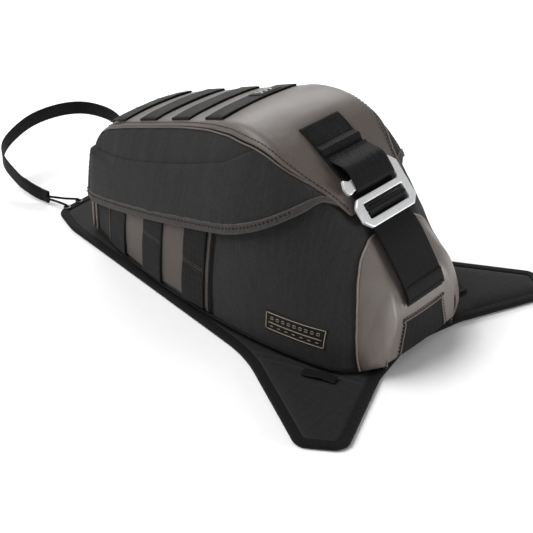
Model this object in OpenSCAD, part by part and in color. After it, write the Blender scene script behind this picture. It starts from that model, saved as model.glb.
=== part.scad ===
// Strap-on motorcycle tank bag on a padded apron, with a front-hinged hood and a G-hook closure.
// Millimetres. +X points to the rider, +Z up, z = 0 is the underside of the apron on the tank.

/* [Bag body] */
// Front face of the body, measured forward from the middle
front_reach = 189; // [185:1:193]
// Rear face of the body, measured back from the middle
rear_reach = 183; // [179:1:187]
// Height of the front top corner before rounding
front_h = 115; // [110:1:120]
// Height of the crest corner before rounding
crest_h = 189; // [184:1:194]
// Half width of the body where it is widest
belly_half = 94; // [90:1:97]
// Half width of the narrow front of the top strip
strip_half = 47; // [45:1:49]
// How far the side walls bulge, as an exponent
belly_power = 2.4; // [2:0.1:3]

/* [Hood] */
// Height of the hood's hem at the front
hem_h = 36; // [32:1:42]
// Rise of the hem per millimetre towards the rear
hem_slope = 0.276; // [0.25:0.002:0.29]
// Width of the bound hem
hem_w = 9; // [7:0.5:11]

/* [Webbing] */
// Width of the wide closure webbing
wide_web = 50; // [48:0.5:50]
// Width of the lashing strips on the hood
lash_w = 24; // [22:0.5:25]
// Spacing of the lashing strips on the hood
lash_pitch = 46.5; // [44:0.5:50]
// Width of the lashing strips on the sides
side_web = 30; // [26:1:32]
// Spacing of the lashing strips on the sides
side_pitch = 61.5; // [60:0.5:63]
// Thickness of all webbing
web_t = 1.4; // [1.2:0.1:1.6]

/* [Hook] */
// Width of the hook's frame
hook_w = 70; // [68:1:72]
// Height of the hook's frame
hook_h = 27; // [26:0.5:28]
// Thickness of the hook plate
hook_t = 4; // [3.5:0.1:4.5]
// Radius of the bar that carries the strap
bar_r = 1.5; // [1.2:0.1:1.6]

/* [Apron] */
// Half width of the nose
nose_half = 57; // [54:1:60]
// Thickness of the centre mat above its grip backing
mat_t = 3.6; // [3:0.1:4]
// Thickness of the padded wings above their grip backing
wing_t = 6.4; // [5:0.2:7]
// Thickness of the grip backing
grip_t = 1.2; // [1:0.1:1.4]
// Width of the bound edge
bind_w = 9; // [7:0.5:10]
// Half width of the flexible strip at each wing's root
fold_half = 4; // [3.5:0.5:5]

/* [Hidden] */
$fn = 48;

// Colours
black = [0.10, 0.10, 0.10];
web_black = [0.06, 0.06, 0.065];
taupe = [0.42, 0.38, 0.35];
thread = [0.62, 0.58, 0.50];
silver = [0.80, 0.81, 0.82];
lining = [0.30, 0.31, 0.33];

// Side profile of the bag: corner x, corner z, rounding radius
base_z = 5;
PROFILE = [[-front_reach, base_z, 0], [-front_reach + 1.5, 48, 40], [-front_reach + 16, front_h, 42],
    [43, crest_h, 70], [125, crest_h - 56, 120], [rear_reach - 2, 62, 45], [rear_reach, base_z, 0]];
// Half width of the top strip along the profile: distance along it, half width
STRIP = [[0, strip_half - 2], [60, strip_half + 1], [130, strip_half], [280, strip_half + 4],
    [330, 58], [370, 63], [395, 60], [420, 52], [450, 41], [480, 34], [520, 36], [545, 42], [576, 50]];
// The hood's front top edge, rear tip and the front end of the body's rear panel, along the profile
hood_front = 112;
hood_tip = 436;
rear_top = 402;
// Share of the half section that the top strip takes, and the height of its crown along the profile
strip_share = 0.35;
CROWN = [[0, 3.5], [380, 3.5], [430, 1.5], [576, 1.5]];
widest_x = 55;

// Offsets of the layers from the body's surface: inner face, outer face
WALL = [-1.4, 0];
FOAM = [-5.6, -2.4];
LINER = [-7, -6];
TRIM = [0.3, 1.3];
SIDE_WEB = [1.6, 1.6 + web_t - 0.2];
HOOD = [3.4, 4.8];
HOOD_TRIM = [5.3, 6.5];
ARCH = [0.9, 1.9];
RIM = [-1.7, 0];
HOOD_FOAM = [-0.8, 2.6];
HOOD_LINING = [-2.3, -1.3];

function unit(v) = v / norm(v);
function mix(a, b, t) = a + (b - a) * t;
function clamp(v, low, high) = max(low, min(high, v));
function steps(a, b, n) = [for (k = [0:n]) mix(a, b, k / n)];

// Rounds one corner of a polyline into n + 1 points
function corner(a, b, d, r, n) =
    let (u = unit(a - b), v = unit(d - b), half = acos(u * v) / 2, c = b + unit(u + v) * r / sin(half),
        p0 = b + u * r / tan(half), p1 = b + v * r / tan(half), a0 = atan2(p0.y - c.y, p0.x - c.x),
        sweep = atan2(p1.y - c.y, p1.x - c.x) - a0,
        turn = sweep > 180 ? sweep - 360 : sweep < -180 ? sweep + 360 : sweep)
    [for (k = [0:n]) c + r * [cos(a0 + turn * k / n), sin(a0 + turn * k / n)]];
function flat(p) = [p.x, p.y];
function rounded(pts, n) = [flat(pts[0]),
    for (i = [1:len(pts) - 2])
        each pts[i][2] > 0 ? corner(flat(pts[i - 1]), flat(pts[i]), flat(pts[i + 1]), pts[i][2], n)
            : [flat(pts[i])],
    flat(pts[len(pts) - 1])];

path = rounded(PROFILE, 8);
gap = [for (i = [0:len(path) - 1]) i > 0 ? norm(path[i] - path[i - 1]) : 0];
run = [for (i = 0, l = 0; i < len(path); i = i + 1, l = l + (i < len(path) ? gap[i] : 0)) l];
s_of_x = [for (i = [0:len(path) - 1]) [path[i].x, run[i]]];
path_x = [for (i = [0:len(path) - 1]) [run[i], path[i].x]];
path_z = [for (i = [0:len(path) - 1]) [run[i], path[i].y]];

function strip_at(s) = lookup(s, STRIP);
// Half width of the body at its base
function base_half(x) = belly_half - (x < widest_x ? 0.00072 : 0.0011) * pow(x - widest_x, 2)
    - 0.03 * pow(max(0, x - rear_reach + 33), 2) - 0.02 * pow(max(0, -front_reach + 21 - x), 2);
// Body surface: s runs along the profile, q from -1 at the left base edge to 1 at the right one
function shell(s, q_in) =
    let (q = clamp(q_in, -1, 1), x = lookup(s, path_x), z = lookup(s, path_z), h = strip_at(s),
        along_x = lookup(s + 1, path_x) - lookup(s - 1, path_x),
        along_z = lookup(s + 1, path_z) - lookup(s - 1, path_z), n = unit([-along_z, along_x]), a = abs(q),
        rise = lookup(s, CROWN) * (1 - pow(min(a / strip_share, 1), 2)),
        t = clamp((a - strip_share) / (1 - strip_share), 0, 1), w = max(base_half(x), h),
        y = a < strip_share ? h * a / strip_share : mix(h, w, 1 - pow(1 - t, belly_power)))
    [x + n.x * rise, sign(q) * y, (a < strip_share ? z : mix(z, base_z, t)) + n.y * rise];
function skin_at(s, q, d) =
    let (a = shell(s + 0.5, q) - shell(s - 0.5, q), b = shell(s, q + 0.004) - shell(s, q - 0.004))
    shell(s, q) + d * unit(cross(a, b));

// Section share at a given height on the side, and at a given half width on the top strip
function share_at_z(s, h) =
    let (z = lookup(s, path_z)) strip_share + (1 - strip_share) * clamp((z - h) / (z - base_z), 0, 1);
function share_at_y(s, y) = strip_share * y / strip_at(s);
function hem_z(x) = hem_h + hem_slope * (x + front_reach - 2) + 0.0035 * pow(max(0, x - 30), 2);
function hood_edge(s) = s < rear_top + 6 ? share_at_z(s, hem_z(lookup(s, path_x)))
    : mix(0.34, 0.27, (s - rear_top) / (hood_tip - rear_top));

// A closed sheet over rows of [s, q] points, between the two offsets of a layer
module sheet(rows, layer) {
    nr = len(rows);
    nc = len(rows[0]);
    m = nr * nc;
    pts = [for (d = [layer[1], layer[0]]) for (r = rows) for (c = r) skin_at(c[0], c[1], d)];
    rim = [for (i = [0:nr - 1]) i * nc, for (j = [1:nc - 1]) (nr - 1) * nc + j,
        for (i = [nr - 2:-1:0]) i * nc + nc - 1, for (j = [nc - 2:-1:1]) j];
    top = [for (i = [0:nr - 2]) for (j = [0:nc - 2]) let (k = i * nc + j)
        each [[k, k + 1, k + nc + 1], [k, k + nc + 1, k + nc]]];
    under = [for (f = top) [f[2] + m, f[1] + m, f[0] + m]];
    wall = [for (k = [0:len(rim) - 1]) let (a = rim[k], b = rim[(k + 1) % len(rim)])
        each [[a, b, b + m], [a, b + m, a + m]]];
    polyhedron(pts, concat(top, under, wall));
}
// Rows over a stretch of the profile between two edges given as lists of q
function patch(ss, qa, qb, n) = [for (i = [0:len(ss) - 1]) [for (q = steps(qa[i], qb[i], n)) [ss[i], q]]];
// A patch on one side (-1 left, 1 right) between share a (upper) and share b (lower)
function side_patch(side, ss, a, b, n) = side < 0
    ? patch(ss, [for (v = b) -v], [for (v = a) -v], n) : patch(ss, a, b, n);
function same(v, ss) = [for (s = ss) v];

// A strip of webbing across the bag whose side view is a polyline of [x, z] points
function normals(p) = [for (i = [0:len(p) - 1])
    let (d = unit(p[min(i + 1, len(p) - 1)] - p[max(i - 1, 0)])) [-d.y, d.x]];
module ribbon(p, t, w) {
    n = normals(p);
    outline = concat([for (i = [0:len(p) - 1]) p[i] + n[i] * t / 2],
        [for (i = [len(p) - 1:-1:0]) p[i] - n[i] * t / 2]);
    translate([0, w / 2, 0]) rotate([90, 0, 0]) linear_extrude(w) polygon(outline);
}
function at(s, d) = let (p = skin_at(s, 0, d)) [p.x, p.z];

// ---- Apron ----
// Left half of the outline: corner x, corner y, rounding radius
HALF = [[-239, 0, 0], [-235, -nose_half, 14], [-200, -70, 60], [78, -111, 150], [191, -173, 14],
    [225, -150, 14], [186, -58, 70], [174, 0, 0]];
half_edge = rounded(HALF, 7);
half_norm = normals(half_edge);
half_inset = [for (i = [0:len(half_edge) - 1]) half_edge[i] + half_norm[i] * bind_w];
// The wing folds along this line
fold_a = [66, -113];
fold_b = [184, -73];
fold_dir = unit(fold_b - fold_a);
fold_out = [fold_dir.y, -fold_dir.x];

module flip(side) { mirror([0, side > 0 ? 1 : 0, 0]) children(); }
module half_outline() { polygon(half_edge); }
// Everything on the tip side of the fold line, starting a distance past it
module beyond_fold(past) {
    reach = 300;
    p = fold_a + fold_out * past - fold_dir * reach;
    r = fold_b + fold_out * past + fold_dir * reach;
    polygon([p, r, r + fold_out * reach, p + fold_out * reach]);
}
module half_centre() { difference() { half_outline(); beyond_fold(-fold_half); } }
module half_wing() { intersection() { half_outline(); beyond_fold(fold_half); } }
// The bound strip along the cut edge of the left half
module half_band() { polygon(concat(half_edge, [for (i = [len(half_edge) - 1:-1:0]) half_inset[i]])); }
module wing_inside() { difference() { half_wing(); half_band(); } }
module centre_inside() { difference() { half_centre(); half_band(); } }

// Eyelets near the front edge of the nose: x, y of each on the left half
eyelets = [[-233.5, -30], [-232.5, -47]];
module eyelet_holes(r) { for (e = eyelets) translate([e.x, e.y, -1]) cylinder(r = r, h = 10); }

module apron_mat() {
    color(black) for (side = [-1, 1]) flip(side)
        translate([0, 0, grip_t + 0.1]) linear_extrude(mat_t - 0.1) centre_inside();
}
module apron_binding() {
    color(web_black) for (side = [-1, 1]) flip(side) difference() {
        linear_extrude(grip_t + mat_t) intersection() { half_band(); half_centre(); }
        eyelet_holes(3.1);
    }
}
module grip_backing() {
    color(lining) for (side = [-1, 1]) flip(side) linear_extrude(grip_t) centre_inside();
}
module strap_eyelets() {
    color(silver) for (side = [-1, 1]) flip(side) for (e = eyelets) translate([e.x, e.y, 0]) difference() {
        union() {
            translate([0, 0, 0.4]) cylinder(r = 3, h = grip_t + mat_t);
            translate([0, 0, grip_t + mat_t + 0.1]) cylinder(r = 4, h = 0.7);
        }
        translate([0, 0, -1]) cylinder(r = 1.8, h = 10);
    }
}

// Magnet discs sealed in each wing: x, y on the left half
magnets = [[148, -118], [172, -136], [186, -117]];
magnet_r = 11;
module magnet_discs(gap) {
    for (m = magnets) translate([m.x, m.y, grip_t + 1.2 - gap]) cylinder(r = magnet_r + gap, h = 3 + 2 * gap);
}
module wing_pad(side) {
    color(black) flip(side) difference() {
        translate([0, 0, grip_t + 0.1]) linear_extrude(wing_t - 0.1) wing_inside();
        magnet_discs(0.1);
    }
}
module wing_binding(side) {
    color(web_black) flip(side)
        linear_extrude(grip_t + mat_t) intersection() { half_band(); half_wing(); }
}
module wing_grip(side) { color(lining) flip(side) linear_extrude(grip_t) wing_inside(); }
module wing_magnets(side) { color(silver) flip(side) magnet_discs(0); }
// Thin flexible web between the mat and a wing
module wing_fold(side) {
    color(web_black) flip(side) translate([0, 0, 0.6]) linear_extrude(3) intersection() {
        half_outline();
        difference() { beyond_fold(-fold_half + 0.2); beyond_fold(fold_half - 0.4); }
    }
}

// Small webbing tab on each wing beside the body
module pull_tab(side) {
    color(web_black) flip(side) translate([150, -94.5, grip_t + wing_t + 0.1]) rotate([0, 0, 18])
        translate([-15, -5, 0]) cube([30, 10, web_t]);
}

// ---- Base of the bag ----
function foot_half(x, inset) = max(base_half(x), strip_half - 2) - inset;
module foot(inset, z, t) {
    xs = steps(-front_reach + inset, rear_reach - inset, 24);
    translate([0, 0, z]) linear_extrude(t) polygon(concat([for (x = xs) [x, -foot_half(x, inset)]],
        [for (i = [len(xs) - 1:-1:0]) [xs[i], foot_half(xs[i], inset)]]));
}
fastener_z = grip_t + mat_t + 0.1;
module fastener_strips(z) {
    for (side = [-1, 1]) for (x = [-110, 60]) translate([x - 55, side * 32 - 12.5, z]) cube([110, 25, 0.8]);
}
module mat_fastener() { color(web_black) fastener_strips(fastener_z); }
module bag_fastener() { color(black) fastener_strips(fastener_z + 0.9); }
module bag_base() { color(black) foot(2.6, fastener_z + 1.8, 1.2); }
module base_board() { color(lining) foot(4, fastener_z + 3.1, 2); }

// ---- Body walls ----
rim_share = 0.40;
wall_share = 0.975;
side_start = 100;
side_end = 512;
module side_panel(side) {
    ss = steps(side_start + 1, side_end - 1, 28);
    top = [for (s = ss) s < rear_top ? rim_share : 0.37];
    color(black) sheet(side_patch(side, ss, top, same(wall_share, ss), 6), WALL);
}
module front_panel() {
    ss = steps(5, side_start, 8);
    color(taupe) sheet(patch(ss, same(-wall_share, ss), same(wall_share, ss), 14), WALL);
}
module rear_panel() {
    slope = steps(rear_top, side_end, 10);
    back = steps(side_end + 1, 572, 5);
    color(black) {
        sheet(patch(slope, same(-0.36, slope), same(0.36, slope), 6), WALL);
        sheet(patch(back, same(-wall_share, back), same(wall_share, back), 14), WALL);
    }
}
module side_foam(side) {
    ss = steps(side_start + 16, side_end - 40, 18);
    color(lining) sheet(side_patch(side, ss, same(rim_share + 0.02, ss), same(0.92, ss), 5), FOAM);
}
liner_z = fastener_z + 5.5;
module inner_liner() {
    ss = steps(side_start + 8, side_end - 30, 16);
    front = steps(14, side_start - 4, 6);
    back = steps(rear_top + 6, 560, 12);
    color(lining) {
        for (side = [-1, 1]) sheet(side_patch(side, ss, same(rim_share + 0.03, ss),
            [for (s = ss) share_at_z(s, liner_z + 2)], 5), LINER);
        for (ends = [front, back]) sheet(patch(ends, same(-0.32, ends), same(0.32, ends), 4), LINER);
        foot(9, liner_z, 1);
    }
}
// A narrow raised bead along a route of [s, q] points; q is scaled to millimetres for its width
q_mm = 145;
module bead(route, half, layer) {
    p = [for (r = route) [r[0], r[1] * q_mm]];
    n = normals(p);
    sheet([for (i = [0:len(p) - 1]) [for (k = [-1, 1])
        [p[i].x + k * half * n[i].x, (p[i].y + k * half * n[i].y) / q_mm]]], layer);
}
module rim_binding() {
    color(web_black) {
        for (side = [-1, 1])
            bead([for (s = steps(118, 396, 16)) [s, side * (rim_share - 0.013)]], 1.5, RIM);
        for (s = [side_start + 2.5, rear_top - 2.5])
            bead([for (q = steps(-0.3, 0.3, 6)) [s, q]], 1.5, RIM);
    }
}

// ---- Trim on the sides ----
trim_from = -140;
trim_to = 18;
function s_at(x) = lookup(x, s_of_x);
function under_hem(ss, lap) = [for (s = ss) share_at_z(s, hem_z(lookup(s, path_x)) + lap)];
module side_trim(side) {
    ss = steps(s_at(trim_from) + 3, s_at(trim_to) - 3, 12);
    color(taupe) sheet(side_patch(side, ss, under_hem(ss, 10), same(0.965, ss), 4), TRIM);
}
strip_centres = [for (k = [0:2]) -1 - side_pitch * k];
module side_webbing(side) {
    color(web_black) for (x = strip_centres)
        let (ss = steps(s_at(x - side_web / 2), s_at(x + side_web / 2), 3))
            sheet(side_patch(side, ss, under_hem(ss, 8), same(0.95, ss), 5), SIDE_WEB);
}
module side_piping(side) {
    color(thread) for (x = [trim_from, trim_to]) let (s = s_at(x))
        bead([for (q = steps(0.965, share_at_z(s, hem_z(x) + 6), 6)) [s, side * q]], 1, [0.3, 1.7]);
}
label_x = [86, 146];
label_z = [26, 45];
module label_patch() {
    ss = steps(s_at(label_x[0]), s_at(label_x[1]), 5);
    color(web_black) sheet(side_patch(-1, ss, [for (s = ss) share_at_z(s, label_z[1])],
        [for (s = ss) share_at_z(s, label_z[0])], 2), [0.3, 1.1]);
}

// ---- Rear face ----
arch_top = 459;
arch_foot = 503;
function arch_share(s) = s < arch_foot ? 0.16 + 0.5 * sqrt((s - arch_top + 1) / 40) : 0.96;
module rear_arch_panel() {
    ss = concat(steps(arch_top, 499, 7), steps(506, 570, 6));
    color(taupe) sheet(patch(ss, [for (s = ss) -arch_share(s)], [for (s = ss) arch_share(s)], 12), ARCH);
}
module rear_arch_piping() {
    curve = [for (s = steps(arch_foot - 2, arch_top + 2, 8)) [s, arch_share(s) + 0.012]];
    side = concat([[arch_foot - 1, 0.93], [arch_foot - 1, 0.8]], curve);
    color(thread) bead(concat([for (r = side) [r[0], -r[1]]], [[457.5, -0.14], [457, 0], [457.5, 0.14]],
        [for (i = [len(side) - 1:-1:0]) side[i]]), 0.8, [0.6, 2]);
}
module rear_patch() {
    ss = steps(537, 569, 4);
    half = [for (i = [0:4]) share_at_y(ss[i], 25 + 1.8 * i)];
    color(web_black) sheet(patch(ss, -half, half, 4), [2.2, 2.9]);
}

// ---- Hood ----
seam_share = 0.352;
module lid_top_panel() {
    ss = concat(steps(hood_front + 2, rear_top, 20), steps(rear_top + 6, hood_tip, 4));
    edge = [for (s = ss) min(seam_share - 0.006, hood_edge(s))];
    color(taupe) sheet(patch(ss, -edge, edge, 8), HOOD);
}
module lid_side(side) {
    ss = steps(hood_front + 1, rear_top + 2, 22);
    low = [for (s = ss) max(hood_edge(s), seam_share + 0.02)];
    color(black) sheet(side_patch(side, ss, same(seam_share, ss), low, 5), HOOD);
}
hem_start = 33;
module lid_front_skirt() {
    ss = steps(hem_start, hood_front, 8);
    edge = [for (s = ss) hood_edge(s)];
    color(black) sheet(patch(ss, -edge, edge, 12), HOOD);
}
module lid_hem_binding() {
    ss = steps(hem_start + hem_w + 3, rear_top, 26);
    low = [for (s = ss) hood_edge(s)];
    depth = [for (s = ss) hem_w * (1 - strip_share) / (lookup(s, path_z) - base_z)];
    high = [for (i = [0:len(ss) - 1]) max(seam_share, low[i] - depth[i])];
    front = steps(hem_start, hem_start + hem_w, 1);
    edge = [for (s = front) hood_edge(s)];
    color(web_black) {
        for (side = [-1, 1]) sheet(side_patch(side, ss, high, low, 1), HOOD_TRIM);
        sheet(patch(front, -edge, edge, 10), HOOD_TRIM);
    }
}
module lid_piping() {
    ss = concat(steps(hood_front + 6, rear_top, 20), steps(rear_top + 6, hood_tip - 2, 4));
    color(thread) for (side = [-1, 1])
        bead([for (s = ss) [s, side * (min(seam_share, hood_edge(s)) - 0.016)]], 1.3, [5.1, 6.4]);
}
module lid_foam() {
    ss = steps(128, 392, 14);
    color(lining) sheet(patch(ss, same(-0.31, ss), same(0.31, ss), 6), HOOD_FOAM);
}
module lid_lining() {
    ss = steps(130, 390, 14);
    color(lining) sheet(patch(ss, same(-0.305, ss), same(0.305, ss), 6), HOOD_LINING);
}
lash_first = 136.5;
module lid_webbing() {
    color(web_black) for (k = [0:3])
        let (s = lash_first + k * lash_pitch, ss = steps(s - lash_w / 2, s + lash_w / 2, 2))
            sheet(patch(ss, same(-0.3, ss), same(0.3, ss), 6), HOOD_TRIM);
}
module badge_patch() {
    s = lash_first + 3 * lash_pitch;
    ss = steps(s - 9, s + 9, 2);
    color(silver) sheet(patch(ss, same(0.04, ss), same(0.22, ss), 3), [6.6, 7.2]);
}
module closure_webbing() {
    ss = steps(352, 402, 5);
    half = [for (s = ss) share_at_y(s, wide_web / 2)];
    color(web_black) {
        sheet(patch(ss, -half, half, 4), [5.1, 5.1 + web_t]);
        ribbon([at(375, 7.5), at(379, 9.6), at(383, 10.4), at(387, 9.6), at(391, 7.5)], web_t, wide_web);
    }
}

// ---- Hook and straps ----
// The hook lies in a plane through this point, tilted by hook_a; u runs up the plane, v out of it
hook_pos = [135.8, 134.9];
hook_a = 47;
slot_low = -11;
slot_high = 3;
bar_u = -4;
function hook_at(u, v) = hook_pos + u * [-cos(hook_a), sin(hook_a)] + v * [sin(hook_a), cos(hook_a)];
module in_hook_plane() {
    translate([hook_pos.x, 0, hook_pos.y]) rotate([0, hook_a, 0]) rotate([0, 0, 90]) children();
}
function ring(pts, n) = let (m = len(pts))
    [for (i = [0:m - 1])
        each corner(flat(pts[(i + m - 1) % m]), flat(pts[i]), flat(pts[(i + 1) % m]), pts[i][2], n)];
arm_u = 30;
arm_w = 11;
module g_hook() {
    h = hook_w / 2;
    low = 9 - hook_h;
    body = [[-h + 7, low, 3], [h - 7, low, 3], [h, low + 7, 3], [h, arm_u - 7, 3], [h - 7, arm_u, 3],
        [-h + 4, arm_u, 1], [-h + 4, arm_u - arm_w, 1], [h - 9, arm_u - arm_w, 2], [h - 9, 9, 2],
        [-h + 6, 9, 3], [-h, 3, 3], [-h, low + 7, 3]];
    slot = [[-26, slot_low, 1.5], [26, slot_low, 1.5], [26, slot_high, 1.5], [-26, slot_high, 1.5]];
    color(silver) in_hook_plane() difference() {
        translate([0, 0, -hook_t / 2]) linear_extrude(hook_t) difference() {
            union() {
                polygon(ring(body, 4));
                translate([-h + 2, arm_u - arm_w / 2 - 1]) circle(r = 6.6);
            }
            polygon(ring(slot, 4));
        }
        translate([-30, bar_u, 0]) rotate([0, 90, 0]) cylinder(r = bar_r + 0.05, h = 60);
    }
}
module hook_bar() {
    color(silver) in_hook_plane() translate([-29.5, bar_u, 0]) rotate([0, 90, 0]) cylinder(r = bar_r, h = 59);
}
module catch_loop() {
    lift = hook_t / 2 + 0.4 + web_t / 2;
    top = arm_u + 1.2;
    low = arm_u - arm_w - 1.6;
    color(web_black) ribbon([at(404, 5.9), hook_at(top + 3, 1.2), hook_at(top, lift), hook_at(low + 1, lift),
        hook_at(low - 0.8, lift - 1.4), hook_at(low - 0.8, 1 - lift), hook_at(low + 1, -lift),
        hook_at(low + 6, -lift - 0.2)], web_t, wide_web);
}
module closure_tail() {
    color(web_black) ribbon([at(521.5, 6.3), at(511, 6.7), at(492, 7.8), at(476, 8.5), at(464, 7.8),
        hook_at(-19, -3.7)], web_t, wide_web);
}
module closure_strap() {
    color(web_black) ribbon([at(524, 3.9), at(516, 4.2), at(507, 4.9), at(492, 5.9), at(476, 6.6), at(464, 5.9),
        hook_at(-19, -5.6)], web_t, wide_web - 1);
}
module strap_wrap() {
    r = bar_r + 0.3 + web_t / 2;
    color(web_black) ribbon(concat([hook_at(-18.4, -3.7), hook_at(-12, -3.4), hook_at(-8.4, -2.2)],
        [for (a = steps(190, -60, 10)) hook_at(bar_u + r * cos(a), r * sin(a))],
        [hook_at(-7, -4.3), hook_at(-12, -5.3), hook_at(-18.4, -5.6)]), web_t, wide_web - 1);
}

// ---- Front strap ----
front_w = 15;
front_t = 1.6;
// Route of the strap from its left end round the steering head to its right end
strap_route = [[-270, -52, 9.5], [-282, -55, 13], [-300, -56, 18], [-327, -52, 29], [-342, -36, 38],
    [-349, 0, 47], [-345, 34, 50], [-331, 60, 50], [-305, 71, 49], [-283, 73, 44], [-268, 69, 32],
    [-263, 61, 20], [-264, 55, 13]];
function spline(p, i, t) = let (a = p[max(i - 1, 0)], b = p[i], c = p[i + 1], d = p[min(i + 2, len(p) - 1)])
    0.5 * (2 * b + (c - a) * t + (2 * a - 5 * b + 4 * c - d) * t * t + (3 * b - a - 3 * c + d) * t * t * t);
function smooth(p, n) =
    [for (i = [0:len(p) - 2]) each [for (k = [0:n - 1]) spline(p, i, k / n)], p[len(p) - 1]];
// A strap standing on edge: a rectangle swept along a route
module upright(p, t, w) {
    m = len(p);
    half = [for (i = [0:m - 1]) let (d = p[min(i + 1, m - 1)] - p[max(i - 1, 0)]) unit([-d.y, d.x, 0]) * t / 2];
    up = [0, 0, w / 2];
    pts = [for (i = [0:m - 1]) each [p[i] + half[i] - up, p[i] - half[i] - up, p[i] - half[i] + up,
        p[i] + half[i] + up]];
    sides = [for (i = [0:m - 2]) for (k = [0:3])
        let (a = 4 * i + k, b = 4 * i + (k + 1) % 4) [a, a + 4, b + 4, b]];
    polyhedron(pts, concat([[0, 1, 2, 3]], [[4 * m - 1, 4 * m - 2, 4 * m - 3, 4 * m - 4]], sides));
}
module front_strap() { color(web_black) upright(smooth(strap_route, 4), front_t, front_w); }
// Folded and stitched strap ends that hold the bridle cords, just inside the strap's own ends
module strap_ends() {
    color(web_black) {
        upright([[-269, -51.6, 9.2], [-264, -50.4, 8.6]], 5, 12);
        upright([[-264.2, 54.2, 11.8], [-263.6, 49, 8.8]], 5, 12);
    }
}
cord_r = 1.2;
module cord(p) {
    for (i = [0:len(p) - 2]) hull() for (q = [p[i], p[i + 1]]) translate(q) sphere(r = cord_r, $fn = 10);
}
module bridle_cord(side) {
    eye_z = grip_t + mat_t + 2.6;
    color(web_black) flip(side) cord([[eyelets[0].x, eyelets[0].y, eye_z], [-259.5, side < 0 ? -50 : -47.5, 8.4],
        [eyelets[1].x, eyelets[1].y, eye_z]]);
}

apron_mat();
apron_binding();
grip_backing();
mat_fastener();
bag_fastener();
bag_base();
base_board();
side_panel(-1);  // side_panel_left
side_panel(1);  // side_panel_right
front_panel();
rear_panel();
rear_arch_panel();
rear_arch_piping();
rear_patch();
side_trim(-1);  // side_trim_left
side_trim(1);  // side_trim_right
side_webbing(-1);  // side_webbing_left
side_webbing(1);  // side_webbing_right
side_piping(-1);  // side_piping_left
side_piping(1);  // side_piping_right
label_patch();
side_foam(-1);  // side_foam_left
side_foam(1);  // side_foam_right
inner_liner();
rim_binding();
pull_tab(-1);  // pull_tab_left
pull_tab(1);  // pull_tab_right
strap_eyelets();
front_strap();
strap_ends();
bridle_cord(-1);  // bridle_cord_left
bridle_cord(1);  // bridle_cord_right
lid_top_panel();
lid_side(-1);  // lid_side_left
lid_side(1);  // lid_side_right
lid_front_skirt();
lid_hem_binding();
lid_piping();
lid_foam();
lid_lining();
lid_webbing();
badge_patch();
closure_webbing();
catch_loop();
closure_strap();
closure_tail();
strap_wrap();
g_hook();
hook_bar();
wing_pad(-1);  // wing_pad_left
wing_pad(1);  // wing_pad_right
wing_binding(-1);  // wing_binding_left
wing_binding(1);  // wing_binding_right
wing_grip(-1);  // wing_grip_left
wing_grip(1);  // wing_grip_right
wing_magnets(-1);  // wing_magnets_left
wing_magnets(1);  // wing_magnets_right
wing_fold(-1);  // wing_fold_left
wing_fold(1);  // wing_fold_right
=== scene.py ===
import math

import bmesh
import bpy
import numpy as np
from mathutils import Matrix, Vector
from mathutils.geometry import delaunay_2d_cdt


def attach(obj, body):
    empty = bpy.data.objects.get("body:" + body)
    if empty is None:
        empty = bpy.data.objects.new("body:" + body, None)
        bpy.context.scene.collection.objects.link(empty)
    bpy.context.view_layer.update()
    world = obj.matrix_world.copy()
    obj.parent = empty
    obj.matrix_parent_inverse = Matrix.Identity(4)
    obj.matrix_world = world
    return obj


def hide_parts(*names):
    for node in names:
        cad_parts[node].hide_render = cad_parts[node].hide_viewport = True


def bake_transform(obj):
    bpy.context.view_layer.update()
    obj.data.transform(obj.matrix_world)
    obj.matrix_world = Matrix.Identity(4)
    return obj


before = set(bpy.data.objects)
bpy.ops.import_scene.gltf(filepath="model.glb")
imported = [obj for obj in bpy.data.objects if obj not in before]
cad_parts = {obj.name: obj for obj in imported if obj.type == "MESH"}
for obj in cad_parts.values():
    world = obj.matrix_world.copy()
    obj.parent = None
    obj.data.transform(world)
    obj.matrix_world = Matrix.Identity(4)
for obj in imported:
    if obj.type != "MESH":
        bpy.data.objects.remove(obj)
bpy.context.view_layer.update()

# Shapes below are worked out in millimetres, in the CAD frame, and turned into metres when a mesh is made.
MM = 0.001
SIDES = ((-1, "left"), (1, "right"))
UP = (0.0, 0.0, 1.0)

# ---------------------------------------------------------------- camera, light and floor
CAMERA = dict(azimuth=42.3, elevation=32.0, distance=1085.0, focal_px=1300.0, target=(89.0, -94.5, 90.0))
FRAME_PX, SENSOR = 533, 36.0


def aim(ob, target):
    ob.rotation_mode = "QUATERNION"
    ob.rotation_quaternion = (Vector(target) - ob.location).to_track_quat("-Z", "Y")


def direction(azimuth, elevation):
    a, e = math.radians(azimuth), math.radians(elevation)
    return Vector((math.sin(a) * math.cos(e), -math.cos(a) * math.cos(e), math.sin(e)))


def link(ob):
    bpy.context.scene.collection.objects.link(ob)
    return ob


target = Vector(CAMERA["target"]) * MM
camera = link(bpy.data.objects.new("camera", bpy.data.cameras.new("camera")))
camera.data.sensor_width = SENSOR
camera.data.lens = CAMERA["focal_px"] * SENSOR / FRAME_PX
camera.data.clip_start, camera.data.clip_end = 0.05, 50
camera.location = target + direction(CAMERA["azimuth"], CAMERA["elevation"]) * CAMERA["distance"] * MM
aim(camera, target)
bpy.context.scene.camera = camera


def softbox(name, azimuth, elevation, distance, size, power, colour=(1, 1, 1)):
    data = bpy.data.lights.new(name, "AREA")
    data.shape, data.size, data.size_y = "RECTANGLE", size[0], size[1]
    data.energy, data.color = power, colour
    ob = link(bpy.data.objects.new(name, data))
    ob.location = target + direction(azimuth, elevation) * distance
    aim(ob, target)


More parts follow.
